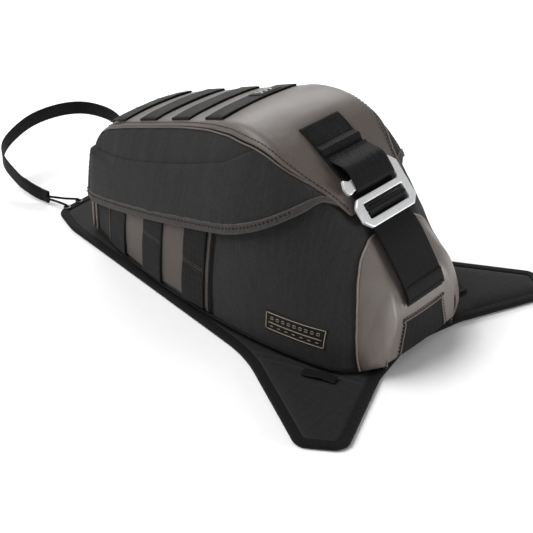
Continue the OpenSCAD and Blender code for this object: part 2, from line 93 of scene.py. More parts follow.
softbox("back", 225, 28, 1.9, (1.4, 0.7), 19)
softbox("rim", 116, 3, 1.5, (0.5, 0.5), 14)
sun = bpy.data.lights.new("sun", "SUN")
sun.energy, sun.angle = 2.85, math.radians(40)
sun = link(bpy.data.objects.new("sun", sun))
sun.location = target + direction(-56, 53) * 2
aim(sun, target)
world = bpy.data.worlds.new("studio")
world.use_nodes = True
# The studio's walls light the bag softly, and show white behind the floor in low views
nodes, links = world.node_tree.nodes, world.node_tree.links
walls, shown = nodes["Background"], nodes.new("ShaderNodeBackground")
for wall, strength in ((walls, 0.28), (shown, 1.0)):
    wall.inputs["Color"].default_value = (1, 1, 1, 1)
    wall.inputs["Strength"].default_value = strength
either = nodes.new("ShaderNodeMixShader")
links.new(nodes.new("ShaderNodeLightPath").outputs["Is Camera Ray"], either.inputs[0])
links.new(walls.outputs[0], either.inputs[1])
links.new(shown.outputs[0], either.inputs[2])
links.new(either.outputs[0], nodes["World Output"].inputs["Surface"])
bpy.context.scene.world = world
bpy.context.scene.view_settings.view_transform = "Standard"


# ---------------------------------------------------------------- materials
class Tree:
    """Short calls for building a material's nodes."""

    def __init__(self, name, roughness, **uniform):
        self.material = bpy.data.materials.new(name)
        self.material.use_nodes = True
        self.tree = self.material.node_tree
        self.shader = self.tree.nodes["Principled BSDF"]
        self.shader.inputs["Roughness"].default_value = roughness
        for key, value in uniform.items():
            self.shader.inputs[key.replace("_", " ")].default_value = value

    def node(self, kind, inputs=(), **settings):
        made = self.tree.nodes.new(kind)
        for key, value in settings.items():
            setattr(made, key, value)
        for key, value in dict(inputs).items():
            self.put(made.inputs[key], value)
        return made

    def put(self, socket, value):
        if isinstance(value, bpy.types.NodeSocket):
            self.tree.links.new(value, socket)
        elif value is not None:
            socket.default_value = value

    def math(self, operation, a, b=0.0, c=None):
        return self.node("ShaderNodeMath", {0: a, 1: b, 2: c}, operation=operation).outputs[0]

    def weigh(self, *parts):
        """The sum of some values, each times its weight."""
        (value, weight), rest = parts[0], parts[1:]
        if not rest:
            return self.math("MULTIPLY", value, weight)
        return self.math("MULTIPLY_ADD", value, weight, self.weigh(*rest))

    def rub(self, base, where, colour):
        """The base colour, and another where the surface is rubbed."""
        return self.node("ShaderNodeMix", {"Factor": where, 6: base, 7: (*colour, 1)},
                         data_type="RGBA").outputs[2]

    def noise(self, vector, scale, detail=2.0, roughness=0.5):
        return self.node("ShaderNodeTexNoise", {"Vector": vector, "Scale": scale, "Detail": detail,
                                                "Roughness": roughness}).outputs["Fac"]

    def ramp(self, value, *stops):
        made = self.node("ShaderNodeValToRGB", {"Fac": value})
        while len(made.color_ramp.elements) < len(stops):
            made.color_ramp.elements.new(0.5)
        for element, (place, colour) in zip(made.color_ramp.elements, stops):
            element.position, element.color = place, (*colour, 1)
        return made.outputs["Color"]

    def range(self, value, a, b, c, d):
        return self.node("ShaderNodeMapRange", {"Value": value, "From Min": a, "From Max": b, "To Min": c,
                                                "To Max": d}).outputs["Result"]

    def bump(self, height, distance, strength=1.0, normal=None):
        made = self.node("ShaderNodeBump", {"Height": height, "Distance": distance, "Strength": strength})
        if normal is not None:
            self.put(made.inputs["Normal"], normal)
        return made.outputs["Normal"]

    def finish(self, colour, roughness, normal):
        self.put(self.shader.inputs["Base Color"], colour)
        self.put(self.shader.inputs["Roughness"], roughness)
        self.put(self.shader.inputs["Normal"], normal)
        return self.material

    def cloth_place(self):
        """The meshes' own place on the cloth: mm along it, mm across it and mm to its nearest edge."""
        vector = self.node("ShaderNodeAttribute", attribute_name="weave").outputs["Vector"]
        parts = self.node("ShaderNodeSeparateXYZ", {"Vector": vector}).outputs
        return vector, parts["X"], parts["Y"], parts["Z"]

    def object_place(self):
        return self.node("ShaderNodeTexCoord").outputs["Object"]


def shades(colour, *factors):
    return [tuple(min(1.0, c * f) for c in colour) for f in factors]


def woven(name, colour, pitch, roughness, sheen=0.03, depth=0.25, ribs=None, wear=1.25, fuzz=0.0, shine=0.14,
          weave=0.25):
    """Cloth: threads over and under at a pitch in mm, or ribs across a strip, lighter where it is rubbed."""
    t = Tree(name, roughness, Sheen_Weight=sheen, Sheen_Roughness=0.5, Specular_IOR_Level=shine)
    place, u, v, edge = t.cloth_place()
    if ribs:
        across = t.math("SINE", t.math("MULTIPLY", u, 2 * math.pi / ribs))
        twill = t.math("SINE", t.math("ADD", t.math("MULTIPLY", u, math.pi / pitch),
                                      t.math("PINGPONG", v, 4 * pitch)))
        threads = t.weigh((across, 0.6), (twill, 0.4))
    else:
        threads = t.math("MULTIPLY", t.math("SINE", t.math("MULTIPLY", u, math.pi / pitch)),
                         t.math("SINE", t.math("MULTIPLY", v, math.pi / pitch)))
    threads = t.range(threads, -1, 1, 0, 1)
    slubs = t.noise(place, 0.9, 3.0, 0.7)
    mottle = t.noise(place, 0.24, 4.0, 0.68)
    drawn = t.node("ShaderNodeVectorMath", {0: place, 1: (0.30, 0.025, 0.0)}, operation="MULTIPLY")
    streaks = t.noise(drawn.outputs["Vector"], 1.0, 2.0, 0.6)
    cloudy = t.weigh((streaks, 0.5), (mottle, 0.5))
    mixed = t.weigh((threads, weave), (slubs, 0.65 - weave), (cloudy, 0.35))
    dark, mid, light = shades(colour, 0.45, 1.0, 1.9)
    base = t.ramp(mixed, (0.25, dark), (0.5, mid), (0.75, light))
    rubbed = t.math("MULTIPLY", t.range(edge, 0.0, 1.6, 1, 0), t.range(slubs, 0.3, 0.7, 0.2, 1))
    worn = t.rub(base, rubbed, shades(colour, wear * 1.6)[0])
    rough = t.range(mixed, 0.2, 0.8, min(1, roughness + 0.08), roughness - 0.1)
    height = t.math("MULTIPLY_ADD", slubs, 0.5 + fuzz, threads)
    return t.finish(worn, rough, t.bump(height, depth * MM))


def leather(name, colour, roughness, grain=1.3, depth=0.10, gloss=0.75, coat=0.12):
    """Coated faux leather: fine pebbled grain, faint clouding and lighter rubbed edges."""
    t = Tree(name, roughness, Specular_IOR_Level=gloss, Coat_Weight=coat, Coat_Roughness=0.3)
    place, _, _, edge = t.cloth_place()
    cells = t.node("ShaderNodeTexVoronoi", {"Vector": place, "Scale": 1 / grain},
                   feature="DISTANCE_TO_EDGE").outputs["Distance"]
    pores = t.noise(place, 1.6, 3.0, 0.6)
    cloudy = t.noise(t.object_place(), 14.0, 4.0, 0.55)
    creases = t.range(cells, 0.0, 0.16, 0, 1)
    mixed = t.weigh((cloudy, 0.6), (creases, 0.12), (pores, 0.28))
    dark, mid, light = shades(colour, 0.72, 1.0, 1.3)
    base = t.ramp(mixed, (0.25, dark), (0.5, mid), (0.8, light))
    rubbed = t.math("MULTIPLY", t.range(edge, 0.0, 2.5, 0.8, 0), t.range(cloudy, 0.35, 0.65, 0.2, 1))
    worn = t.rub(base, rubbed, shades(colour, 1.55)[0])
    rough = t.range(mixed, 0.2, 0.8, roughness + 0.1, roughness - 0.08)
    height = t.math("MULTIPLY_ADD", pores, 0.5, creases)
    return t.finish(worn, rough, t.bump(height, depth * MM))


def moulded(name, colour, roughness, metallic=0.0, brushed=0.0, grain=250.0, depth=0.02,
            vary=0.15, **uniform):
    """Metal, board or rubber: colour clouding, and fine grain or drawn lines in the surface."""
    t = Tree(name, roughness, Metallic=metallic, **uniform)
    place = t.object_place()
    stretched = t.node("ShaderNodeVectorMath", {0: place, 1: (1, 1 - 0.96 * brushed, 1)},
                       operation="MULTIPLY")
    fine = t.noise(stretched.outputs["Vector"], grain * 6, 2.0, 0.6)
    cloudy = t.noise(place, grain / 5, 3.0)
    mixed = t.weigh((fine, 0.5), (cloudy, 0.5))
    dark, mid, light = shades(colour, 1 - vary, 1.0, 1 + vary)
    base = t.ramp(mixed, (0.3, dark), (0.5, mid), (0.7, light))
    rough = t.range(mixed, 0.3, 0.7, roughness + 0.08, max(0.05, roughness - 0.08))
    return t.finish(base, rough, t.bump(fine, depth * MM))


BLACK, WEB, TAUPE = (0.0240, 0.0230, 0.0230), (0.0045, 0.0045, 0.0046), (0.081, 0.065, 0.056)
M = {
    "cordura": woven("cordura", BLACK, 0.75, 0.82, depth=0.22),
    "binding": woven("binding", (0.0042, 0.0042, 0.0044), 0.8, 0.8, ribs=1.3, depth=0.25),
    "neoprene": woven("neoprene", (0.0175, 0.0170, 0.0174), 0.55, 0.6, shine=0.05, depth=0.08),
    "webbing": woven("webbing", WEB, 0.9, 0.62, ribs=1.8, depth=0.32, wear=1.3, shine=0.1, weave=0.34),
    "faux_leather": leather("faux_leather", TAUPE, 0.40, gloss=0.55, coat=0.10),
    # The arch's leather is the hood's leather painted 1.25 times lighter: a painted highlight for the light
    # that falls on its padded lobes
    "painted_lit_arch_leather": leather("painted_lit_arch_leather", shades(TAUPE, 1.25)[0], 0.38),
    "trim_leather": leather("trim_leather", (0.074, 0.060, 0.052), 0.5, gloss=0.3, coat=0.02),
    "piping": leather("piping", (0.17, 0.14, 0.118), 0.42, grain=0.9),
    "trim_piping": leather("trim_piping", (0.070, 0.058, 0.048), 0.5, grain=0.9, gloss=0.3, coat=0.02),
    "hem_tape": woven("hem_tape", (0.048, 0.044, 0.041), 0.8, 0.75, ribs=1.3, depth=0.25),
    "thread_light": woven("thread_light", (0.36, 0.30, 0.22), 0.3, 0.7, ribs=0.5),
    "thread_grey": woven("thread_grey", (0.095, 0.085, 0.072), 0.3, 0.7, ribs=0.5),
    "thread_dark": woven("thread_dark", (0.006, 0.006, 0.006), 0.3, 0.7, ribs=0.5),
    "grip": moulded("grip", (0.015, 0.015, 0.016), 0.75, grain=120, depth=0.15),
    "lining": woven("lining", (0.150, 0.152, 0.158), 0.45, 0.6, depth=0.08),
    "foam": moulded("foam", (0.10, 0.10, 0.105), 0.9, grain=160, depth=0.25),
    "board": moulded("board", (0.03, 0.03, 0.03), 0.5, grain=90, depth=0.08),
    "hook_loop": woven("hook_loop", (0.012, 0.012, 0.013), 1.1, 0.95, sheen=0.3, depth=0.7, fuzz=1.0),
    "label": woven("label", (0.006, 0.006, 0.006), 0.35, 0.6, depth=0.1),
    "badge": woven("badge", (0.55, 0.54, 0.50), 0.4, 0.45, ribs=0.6, depth=0.15),
    "alu": moulded("alu", (0.80, 0.81, 0.82), 0.36, metallic=0.55, brushed=1.0, depth=0.006),
    "steel": moulded("steel", (0.45, 0.46, 0.48), 0.3, metallic=1.0, depth=0.006),
    "black_steel": moulded("black_steel", (0.035, 0.035, 0.037), 0.4, metallic=0.6, depth=0.01),
    "floor": moulded("floor", (0.97, 0.97, 0.97), 0.8, grain=12, depth=0.02, vary=0.02),
}


# ---------------------------------------------------------------- the bag's surface
PROFILE = [(-189, 5, 0), (-187.5, 48, 40), (-173, 115, 42), (43, 189, 70), (125, 133, 120), (181, 62, 45),
           (183, 5, 0)]
STRIP = [(0, 45), (60, 48), (130, 47), (280, 51), (330, 58), (370, 63), (395, 60), (420, 52), (450, 41),
         (480, 34), (520, 36), (545, 42), (576, 50)]
CROWN = [(0, 2.2), (380, 1.9), (430, 1.5), (576, 1.5)]
SHARE, BELLY, BASE_Z = 0.35, 2.4, 5.0
Q_MM = 145.0
HOOD_FRONT, HOOD_TIP, REAR_TOP = 112, 436, 402
# How far the underside and the face of each kind of panel lie off that surface
BODY_CLOTH, HOOD_CLOTH, HEM_TAPE, INNER_TAPE = (-1.4, 0), (3.4, 4.6), (5.3, 6.5), (2.2, 3.3)
# How far down each kind of panel on the sides reaches, as a share of the way across
CLOTH_FOOT, STRIP_FOOT, TRIM_FOOT = 0.992, 0.967, 0.962


def unit(v):
    v = np.asarray(v, float)
    return v / np.maximum(np.linalg.norm(v, axis=-1, keepdims=True), 1e-12)


def fillet(a, b, d, r, n):
    a, b, d = (np.array(p[:2], float) for p in (a, b, d))
    u, v = unit(a - b), unit(d - b)
    half = math.acos(float(u @ v)) / 2
    c = b + unit(u + v) * r / math.sin(half)
    p0, p1 = b + u * r / math.tan(half), b + v * r / math.tan(half)
    a0, a1 = math.atan2(*(p0 - c)[::-1]), math.atan2(*(p1 - c)[::-1])
    sweep = (a1 - a0 + math.pi) % (2 * math.pi) - math.pi
    return [c + r * np.array([math.cos(a0 + sweep * k / n), math.sin(a0 + sweep * k / n)])
            for k in range(n + 1)]


def rounded(points, n, ring=False):
    m = len(points)
    out = []
    for i, p in enumerate(points):
        if p[2] > 0 and (ring or 0 < i < m - 1):
            out += fillet(points[i - 1], p, points[(i + 1) % m], p[2], n)
        else:
            out.append(np.array(p[:2], float))
    return np.array(out)


def lengths(p):
    return np.concatenate([[0], np.cumsum(np.linalg.norm(np.diff(p, axis=0), axis=1))])


path = rounded(PROFILE, 24)
path_s = lengths(path)


def path_x(s):
    return np.interp(s, path_s, path[:, 0])


def path_z(s):
    return np.interp(s, path_s, path[:, 1])


def table(rows, window):
    """A table's value, averaged over a window so that its corners are soft."""
    t = np.array(rows, float)
    return lambda s: np.mean([np.interp(s + d, t[:, 0], t[:, 1]) for d in np.linspace(-window, window, 7)], 0)


strip_half, crown = table(STRIP, 9), table(CROWN, 14)


def base_half(x):
    return (94 - np.where(x < 55, 0.00072, 0.0011) * (x - 55) ** 2 - 0.03 * np.maximum(0, x - 150) ** 2
            - 0.02 * np.maximum(0, -168 - x) ** 2)


def shell_at(s, q):
    q = np.clip(q, -1, 1)
    a, x, z = np.abs(q), path_x(s), path_z(s)
    tx, tz = path_x(s + 1.5) - path_x(s - 1.5), path_z(s + 1.5) - path_z(s - 1.5)
    run = np.hypot(tx, tz)
    rise = crown(s) * (1 - np.minimum(a / SHARE, 1) ** 2)
    t, h = np.clip((a - SHARE) / (1 - SHARE), 0, 1), strip_half(s)
    w = np.maximum(base_half(x), h)
    y = np.where(a < SHARE, h * a / SHARE, h + (w - h) * (1 - (1 - t) ** BELLY))
    return np.stack([x - tz / run * rise, np.sign(q) * y, np.where(a < SHARE, z, z + (BASE_Z - z) * t)
                     + tx / run * rise], -1)


def shell(s, q):
    """The body's surface, its long edges softened: s mm along the side profile, q from -1 to 1 across."""
    return np.mean([shell_at(s, q + d) for d in (-0.026, -0.013, 0, 0.013, 0.026)], 0)


def skin(s, q, d=0.0):
    """(points, normals) at a distance d off the body's surface."""
    s, q = np.broadcast_arrays(np.asarray(s, float), np.asarray(q, float))
    n = unit(np.cross(shell(s + 1.2, q) - shell(s - 1.2, q), shell(s, q + 0.006) - shell(s, q - 0.006)))
    return shell(s, q) + n * np.asarray(d)[..., None], n


def s_at(x):
    return np.interp(x, path[:, 0], path_s)


def share_at_z(s, h):
    z = path_z(s)
    return SHARE + (1 - SHARE) * np.clip((z - h) / (z - BASE_Z), 0, 1)


def share_at_y(s, y):
    return SHARE * y / strip_half(s)


def hem_z(x):
    return 36 + 0.276 * (x + 187) + 0.0035 * np.maximum(0, x - 30) ** 2


def hood_edge(s):
    return share_at_z(s, hem_z(path_x(s)))


# ---------------------------------------------------------------- mesh helpers
def ripple(p, size, seed, waves=9):
    """A smooth uneven height from -1 to 1 or so, with bumps about size mm across, the same for a seed."""
    draw = np.random.RandomState(seed)
    out = 0.0
    for _ in range(waves):
        k = unit(draw.normal(size=3)) * 2 * math.pi / (size * draw.uniform(0.7, 1.6))
        out = out + np.sin(p @ k + draw.uniform(0, 2 * math.pi))
    return out / math.sqrt(waves)


def crowded(a, b, n, edge):
    """Values from a to b that lie closer together within edge of each end."""
    k = np.array([0, 0.1, 0.25, 0.5, 1.0]) * edge
    return np.concatenate([a + k, np.linspace(a + edge, b - edge, n)[1:-1], b - k[::-1]])


def from_line(p, line):
    """Distance of each point from a polyline."""
    a, d = line[:-1], np.diff(line, axis=0)
    length2 = np.maximum((d * d).sum(1), 1e-12)
    out = np.empty(len(p))
    for i in range(0, len(p), 1500):
        w = p[i:i + 1500, None, :] - a[None]
        t = np.clip((w * d).sum(2) / length2, 0, 1)
        out[i:i + 1500] = np.sqrt(((w - t[..., None] * d) ** 2).sum(2).min(1))
    return out


def cloth_map(run, across, edge):
    """The place on the cloth of each point in rings: mm along it, mm across it and mm to its edge."""
    shape = (len(run), len(across))
    return np.stack([np.broadcast_to(v, shape) for v in (run[:, None], across, edge)], -1)


stood_for = set()


def build(name, points, faces, material, body, nodes=(), weave=None, slot=None, sharp=50, blend=None):
    """Makes a piece from points in mm and lists of faces, turned outwards, smooth-shaded, on its body.
    The first piece that names a CAD node stands for it."""
    points = np.asarray(points, float)
    mesh = bpy.data.meshes.new(name)
    faces = [np.asarray(f) for f in faces]
    volume = 0.0
    for f in faces:
        for k in range(1, f.shape[1] - 1):
            volume += (points[f[:, 0]] * np.cross(points[f[:, k]], points[f[:, k + 1]])).sum()
    if volume < 0:
        faces = [f[:, ::-1] for f in faces]
    mesh.from_pydata((points * MM).tolist(), [], [row for f in faces for row in f.tolist()])
    mesh.update()
    mesh.shade_smooth()
    mesh.set_sharp_from_angle(angle=math.radians(sharp))
    if weave is not None:
        attribute = mesh.attributes.new("weave", "FLOAT_VECTOR", "POINT")
        attribute.data.foreach_set("vector", np.asarray(weave, np.float32).ravel())
    mesh.materials.append(M[material])
    ob = link(bpy.data.objects.new(name, mesh))
    if blend:
        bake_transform(ob)
    elif body:
        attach(ob, body)
    fresh = [node for node in nodes if node not in stood_for]
    if fresh:
        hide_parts(*fresh)
        stood_for.update(fresh)
    slot = slot or material
    return ob


def grid_faces(nr, nc, start=0):
    k = (np.arange(nr - 1)[:, None] * nc + np.arange(nc - 1)[None]).ravel() + start
    return np.stack([k, k + nc, k + nc + 1, k + 1], 1)


def panel(name, s, q_low, q_high, layer, material, body, nodes=(), columns=60, roll=0.7, roll_w=1.8,
          lift=None, turned="nsew", split=None, **more):
    """A sewn panel on the body's surface, from s[0] to s[-1] and between two edges of q, with turned edges.
    turned names the edges that roll over: n and s at the ends of s, w and e at low and high q."""
    s = np.asarray(s, float)
    low, high = (np.broadcast_to(f(s) if callable(f) else f, s.shape) for f in (q_low, q_high))
    wide = float(np.mean(np.abs(high - low))) * Q_MM
    c = crowded(0, 1, columns, min(0.3, 2.2 / wide))
    if split is not None:  # the columns are packed at this share of the width
        c = np.concatenate([crowded(0, 0.5, columns // 2, 0.03), crowded(0.5, 1, columns // 2, 0.03)[1:]])
        middle = split(s)
        q = np.where(c[None] < 0.5, low[:, None] + (middle - low)[:, None] * 2 * c[None],
                     middle[:, None] + (high - middle)[:, None] * (2 * c[None] - 1))
    else:
        q = low[:, None] + (high - low)[:, None] * c[None]
    rows, cols = q.shape
    ss = np.broadcast_to(s[:, None], q.shape)
    p, n = skin(ss, q)
    along, across = (np.cumsum(np.linalg.norm(np.diff(p, axis=axis), axis=2), axis) for axis in (0, 1))
    along = np.concatenate([np.zeros((1, cols)), along])
    across = np.concatenate([np.zeros((rows, 1)), across], 1)
    flat = p.reshape(-1, 3)
    dist = np.full(rows * cols, 99.0)
    for edge, line in (("n", p[0]), ("s", p[-1]), ("w", p[:, 0]), ("e", p[:, -1])):
        if edge in turned:
            dist = np.minimum(dist, from_line(flat, line))
    inward = np.clip(1 - dist / roll_w, 0, 1)
    height = layer[1] - roll * (1 - np.sqrt(1 - inward ** 2))
    if lift is not None:
        height = height + lift(flat, ss.ravel(), q.ravel(), dist)
    top = flat + n.reshape(-1, 3) * height[:, None]
    under = flat + n.reshape(-1, 3) * np.minimum(layer[0], height - 0.15)[:, None]
    m = rows * cols
    faces = grid_faces(rows, cols)
    k = np.arange(m).reshape(rows, cols)
    rim = np.concatenate([k[0], k[1:, -1], k[-1, -2::-1], k[-2:0:-1, 0]])
    ahead = np.roll(rim, -1)
    wall = np.stack([rim, ahead, ahead + m, rim + m], 1)
    weave = np.stack([along.ravel(), across.ravel(), dist], 1)
    ob = build(name, np.concatenate([top, under]), [faces, faces[:, ::-1] + m, wall], material, body, nodes,
               weave=np.concatenate([weave, weave]), **more)
    quad = p[:-1, :-1], p[1:, :-1], p[1:, 1:], p[:-1, 1:]
    area = np.linalg.norm(np.cross(quad[2] - quad[0], quad[3] - quad[1]), axis=2).sum() / 2
    ob["cut"] = [float(across[:, -1].max()), float(along[-1].max()), float(area)]
    return ob


def loft(name, rings, material, body, nodes=(), weave=None, ring=False, **more):
    """A skin over closed rings of points, closed at its ends unless it runs round in a ring."""
    rings = np.asarray(rings, float)
    rows, cols = rings.shape[:2]
    k = np.arange(rows * cols).reshape(rows, cols)
    side = np.roll(k, -1, axis=1)
    faces = [np.stack([k[:-1].ravel(), k[1:].ravel(), side[1:].ravel(), side[:-1].ravel()], 1)]
    if ring:
        faces.append(np.stack([k[-1], k[0], side[0], side[-1]], 1))
    else:
        faces += [k[:1], k[-1:, ::-1]]
    return build(name, rings.reshape(-1, 3), faces, material, body, nodes,
                 weave=None if weave is None else np.asarray(weave).reshape(-1, 3), **more)


def spline(points, n):
    """A smooth line through the points, n steps to each stretch."""
    p = np.asarray(points, float)
    out = []
    for i in range(len(p) - 1):
        a, b, c, d = p[max(i - 1, 0)], p[i], p[i + 1], p[min(i + 2, len(p) - 1)]
        for t in np.arange(n) / n:
            out.append(0.5 * (2 * b + (c - a) * t + (2 * a - 5 * b + 4 * c - d) * t * t
                              + (3 * b - a - 3 * c + d) * t ** 3))
    return np.array(out + [p[-1]])


def even(p, step):
    """The same line with points a step apart."""
    run = lengths(p)
    n = max(2, int(round(run[-1] / step)) + 1)
    at = np.linspace(0, run[-1], n)
    return np.stack([np.interp(at, run, p[:, i]) for i in range(p.shape[1])], 1)


def tangents(p):
    return unit(np.gradient(p, axis=0))


def tube(name, line, normals, radius, material, body, nodes=(), sides=12, squeeze=1.0, **more):
    """A round piece along a line, with rounded ends."""
    t = tangents(line)
    side = unit(np.cross(t, normals))
    up = np.cross(side, t)
    run = lengths(line)
    ends = np.minimum(run, run[-1] - run)
    r = radius * np.sqrt(np.clip(1 - np.clip(1 - ends / radius, 0, 0.96) ** 2, 0.05, 1))
    a = np.arange(sides) * 2 * math.pi / sides
    rings = (line[:, None] + side[:, None] * (r[:, None] * np.cos(a))[..., None]
             + up[:, None] * (r[:, None] * np.sin(a) * squeeze)[..., None])
    return loft(name, rings, material, body, nodes, weave=cloth_map(run, a * radius, 5.0), **more)


def strip_section(width, thick, camber=0.0, columns=16):
    """The cut end of a flat strap: (across, up, mm from its edge), with rounded edges and a slight bow."""
    r = thick / 2
    top = np.linspace(-width / 2 + r, width / 2 - r, columns)
    turn = np.radians(np.linspace(90, -90, 7)[1:-1])
    right = np.stack([width / 2 - r + r * np.cos(turn), r * np.sin(turn)], 1)
    section = np.concatenate([np.stack([top, np.full(columns, r)], 1), right,
                              np.stack([top[::-1], np.full(columns, -r)], 1), right[::-1] * [-1, 1]])
    section[:, 1] -= camber * (2 * section[:, 0] / width) ** 2
    return section, width / 2 - np.abs(section[:, 0])


def strap(name, line, across, width, thick, material, body, nodes=(), camber=0.0, shape=None, **more):
    """A flat strap along a line. across is the direction of its width, one for all or one for each point.
    shape, if given, returns extra mm along its normal for (run, across)."""
    t = tangents(line)
    across = unit(np.broadcast_to(np.asarray(across, float), line.shape))
    across = unit(across - (across * t).sum(1, keepdims=True) * t)
    normal = np.cross(t, across)
    section, edge = strip_section(width, thick, camber)
    run = lengths(line)
    u, v, up = np.broadcast_arrays(run[:, None], section[:, 0], section[:, 1])
    if shape is not None:
        up = up + shape(u, v)
    rings = line[:, None] + across[:, None] * v[..., None] + normal[:, None] * up[..., None]
    return loft(name, rings, material, body, nodes, weave=cloth_map(run, section[:, 0] + width, edge), **more)


def capsule():
    """A short thread from -1 to 1 along its first axis: points and faces."""
    rings, sides = [(-1, 0.35), (-0.8, 0.8), (-0.35, 1), (0.35, 1), (0.8, 0.8), (1, 0.35)], 6
    p = [(a, r * math.cos(k * math.pi / 3), r * math.sin(k * math.pi / 3)) for a, r in rings
         for k in range(sides)]
    f = [(i * sides + k, (i + 1) * sides + k, (i + 1) * sides + (k + 1) % sides, i * sides + (k + 1) % sides)
         for i in range(len(rings) - 1) for k in range(sides)]
    caps = [tuple(range(sides))[::-1], tuple(range((len(rings) - 1) * sides, len(rings) * sides))]
    return np.array(p, float), np.array(f), np.array(caps)


STITCH = capsule()


def stitches(name, lines, material, body, pitch=3.4, length=2.3, radius=0.34, **more):
    """Rows of separate stitches. lines is a list of (points, normals)."""
    points, quads, caps, weave = [], [], [], []
    for line, normals in lines:
        run = lengths(line)
        n = max(1, int(run[-1] / pitch))
        at = (np.arange(n) + 0.5) * run[-1] / n
        c = np.stack([np.interp(at, run, line[:, i]) for i in range(3)], 1)
        up = unit(np.stack([np.interp(at, run, normals[:, i]) for i in range(3)], 1))
        t = np.stack([np.interp(at, run, tangents(line)[:, i]) for i in range(3)], 1)
        t = unit(t - (t * up).sum(1, keepdims=True) * up)
        side = np.cross(up, t)
        p = (c[:, None] + t[:, None] * (STITCH[0][:, 0] * length / 2)[None, :, None]
             + side[:, None] * (STITCH[0][:, 1] * radius)[None, :, None]
             + up[:, None] * (STITCH[0][:, 2] * radius * 0.8)[None, :, None])
        start = sum(len(x) for x in points) + np.arange(n)[:, None, None] * len(STITCH[0])
        points.append(p.reshape(-1, 3))
        quads.append((STITCH[1][None] + start).reshape(-1, 4))
        caps.append((STITCH[2][None] + start).reshape(-1, 6))
        weave.append(np.tile(STITCH[0] * 2, (n, 1)))
    return build(name, np.concatenate(points), [np.concatenate(quads), np.concatenate(caps)], material, body,
                 weave=np.concatenate(weave), **more)


def seam(s, q, d, n=6):
    """(points, normals) of a line at a distance d off the body's surface, through points of s and q."""
    route = np.stack(np.broadcast_arrays(np.asarray(s, float), np.asarray(q, float)), 1)
    route = spline(route * [1, Q_MM], n)
    if np.ndim(d):
        d = np.interp(np.linspace(0, 1, len(route)), np.linspace(0, 1, len(d)), d)
    return skin(route[:, 0], route[:, 1] / Q_MM, d)


def sided(side, upper, lower):
    """A panel's two edges on one side of the bag, lowest q first. Each edge is a share or takes s."""
    def mirror(edge):
        return lambda s: -edge(s) if callable(edge) else np.full_like(np.asarray(s, float), -edge)
    return (upper, lower) if side > 0 else (mirror(lower), mirror(upper))


def inside(p, loop):
    x, y = p[:, :1], p[:, 1:]
    a, b = loop, np.roll(loop, -1, axis=0)
    crosses = (a[:, 1] > y) != (b[:, 1] > y)
    with np.errstate(divide="ignore", invalid="ignore"):
        at = a[:, 0] + (y - a[:, 1]) * (b[:, 0] - a[:, 0]) / (b[:, 1] - a[:, 1])
    return (crosses & (x < at)).sum(1) % 2 == 1


def slab(name, loop, low, high, material, body, nodes=(), step=6.0, fine=2.4, margin=9.0, **more):
    """A flat piece between two heights, closed round its outline.
    high and low are heights in mm, or take (points, mm from the edge)."""
    loop = even(np.concatenate([loop, loop[:1]]), fine)[:-1]
    closed = np.concatenate([loop, loop[:1]])
    (x0, y0), (x1, y1) = loop.min(0), loop.max(0)
    found = []
    for pitch, near, far in ((fine, 1.1, margin), (step, margin, 1e9)):
        g = np.stack(np.meshgrid(np.arange(x0, x1, pitch), np.arange(y0, y1, pitch)), -1).reshape(-1, 2)
        g = g[inside(g, loop)]
        if len(g):
            d = from_line(g, closed)
            found.append(g[(d > near) & (d <= far)])
    every = np.concatenate([loop] + found)
    n = len(loop)
    out = delaunay_2d_cdt([Vector(p) for p in every], [(i, (i + 1) % n) for i in range(n)], [], 1, 1e-5)
    flat, tri = np.array([tuple(v) for v in out[0]]), np.array(out[2])
    dist = from_line(flat, closed)
    m = len(flat)
    top = np.column_stack([flat, np.broadcast_to(high(flat, dist) if callable(high) else high, m)])
    under = np.column_stack([flat, np.broadcast_to(low(flat, dist) if callable(low) else low, m)])
    directed = np.concatenate([tri[:, [0, 1]], tri[:, [1, 2]], tri[:, [2, 0]]])
    keys = {tuple(e) for e in directed.tolist()}
    rim = np.array([e for e in keys if (e[1], e[0]) not in keys])
    wall = np.stack([rim[:, 1], rim[:, 0], rim[:, 0] + m, rim[:, 1] + m], 1)
    weave = np.column_stack([flat, dist])
    return build(name, np.concatenate([top, under]), [tri, tri[:, ::-1] + m, wall], material, body, nodes,
                 weave=np.concatenate([weave, weave]), **more)


# ---------------------------------------------------------------- front strap and its cords
EYELETS = [(-233.5, -30.0), (-232.5, -47.0)]
ROUTE = [(-270, -52, 9.5), (-282, -55, 13), (-300, -56, 18), (-327, -52, 29), (-342, -36, 38), (-349, 0, 47),
         (-345, 34, 50), (-331, 60, 50), (-305, 71, 49), (-283, 73, 44), (-268, 69, 32), (-263, 61, 20),
         (-264, 55, 13)]
FRONT_W, FRONT_T = 15.0, 1.6
route = even(spline(ROUTE, 24), 2.0)
front_strap = strap("front_strap_web", route, UP, FRONT_W, FRONT_T, "webbing", "strap", ["front_strap"])
END_T = 4.2
END_LEFT = [(-291, -55.6, 15.4), (-281, -54.7, 12.7), (-270, -51.9, 9.4), (-264.5, -50.5, 8.6),
            (-258.9, -49.9, 8.4)]
END_RIGHT = [(-263.2, 60.5, 19.5), (-264.1, 55.0, 13.2), (-263.7, 50.0, 9.4), (-259.2, 47.6, 8.6)]
ends = [strap("strap_end_left", spline(END_LEFT, 8), UP, 14, END_T, "webbing", "strap", ["strap_ends"]),
        strap("strap_end_right", spline(END_RIGHT, 8), UP, 13, END_T, "webbing", "strap")]
CORD_R = 1.2
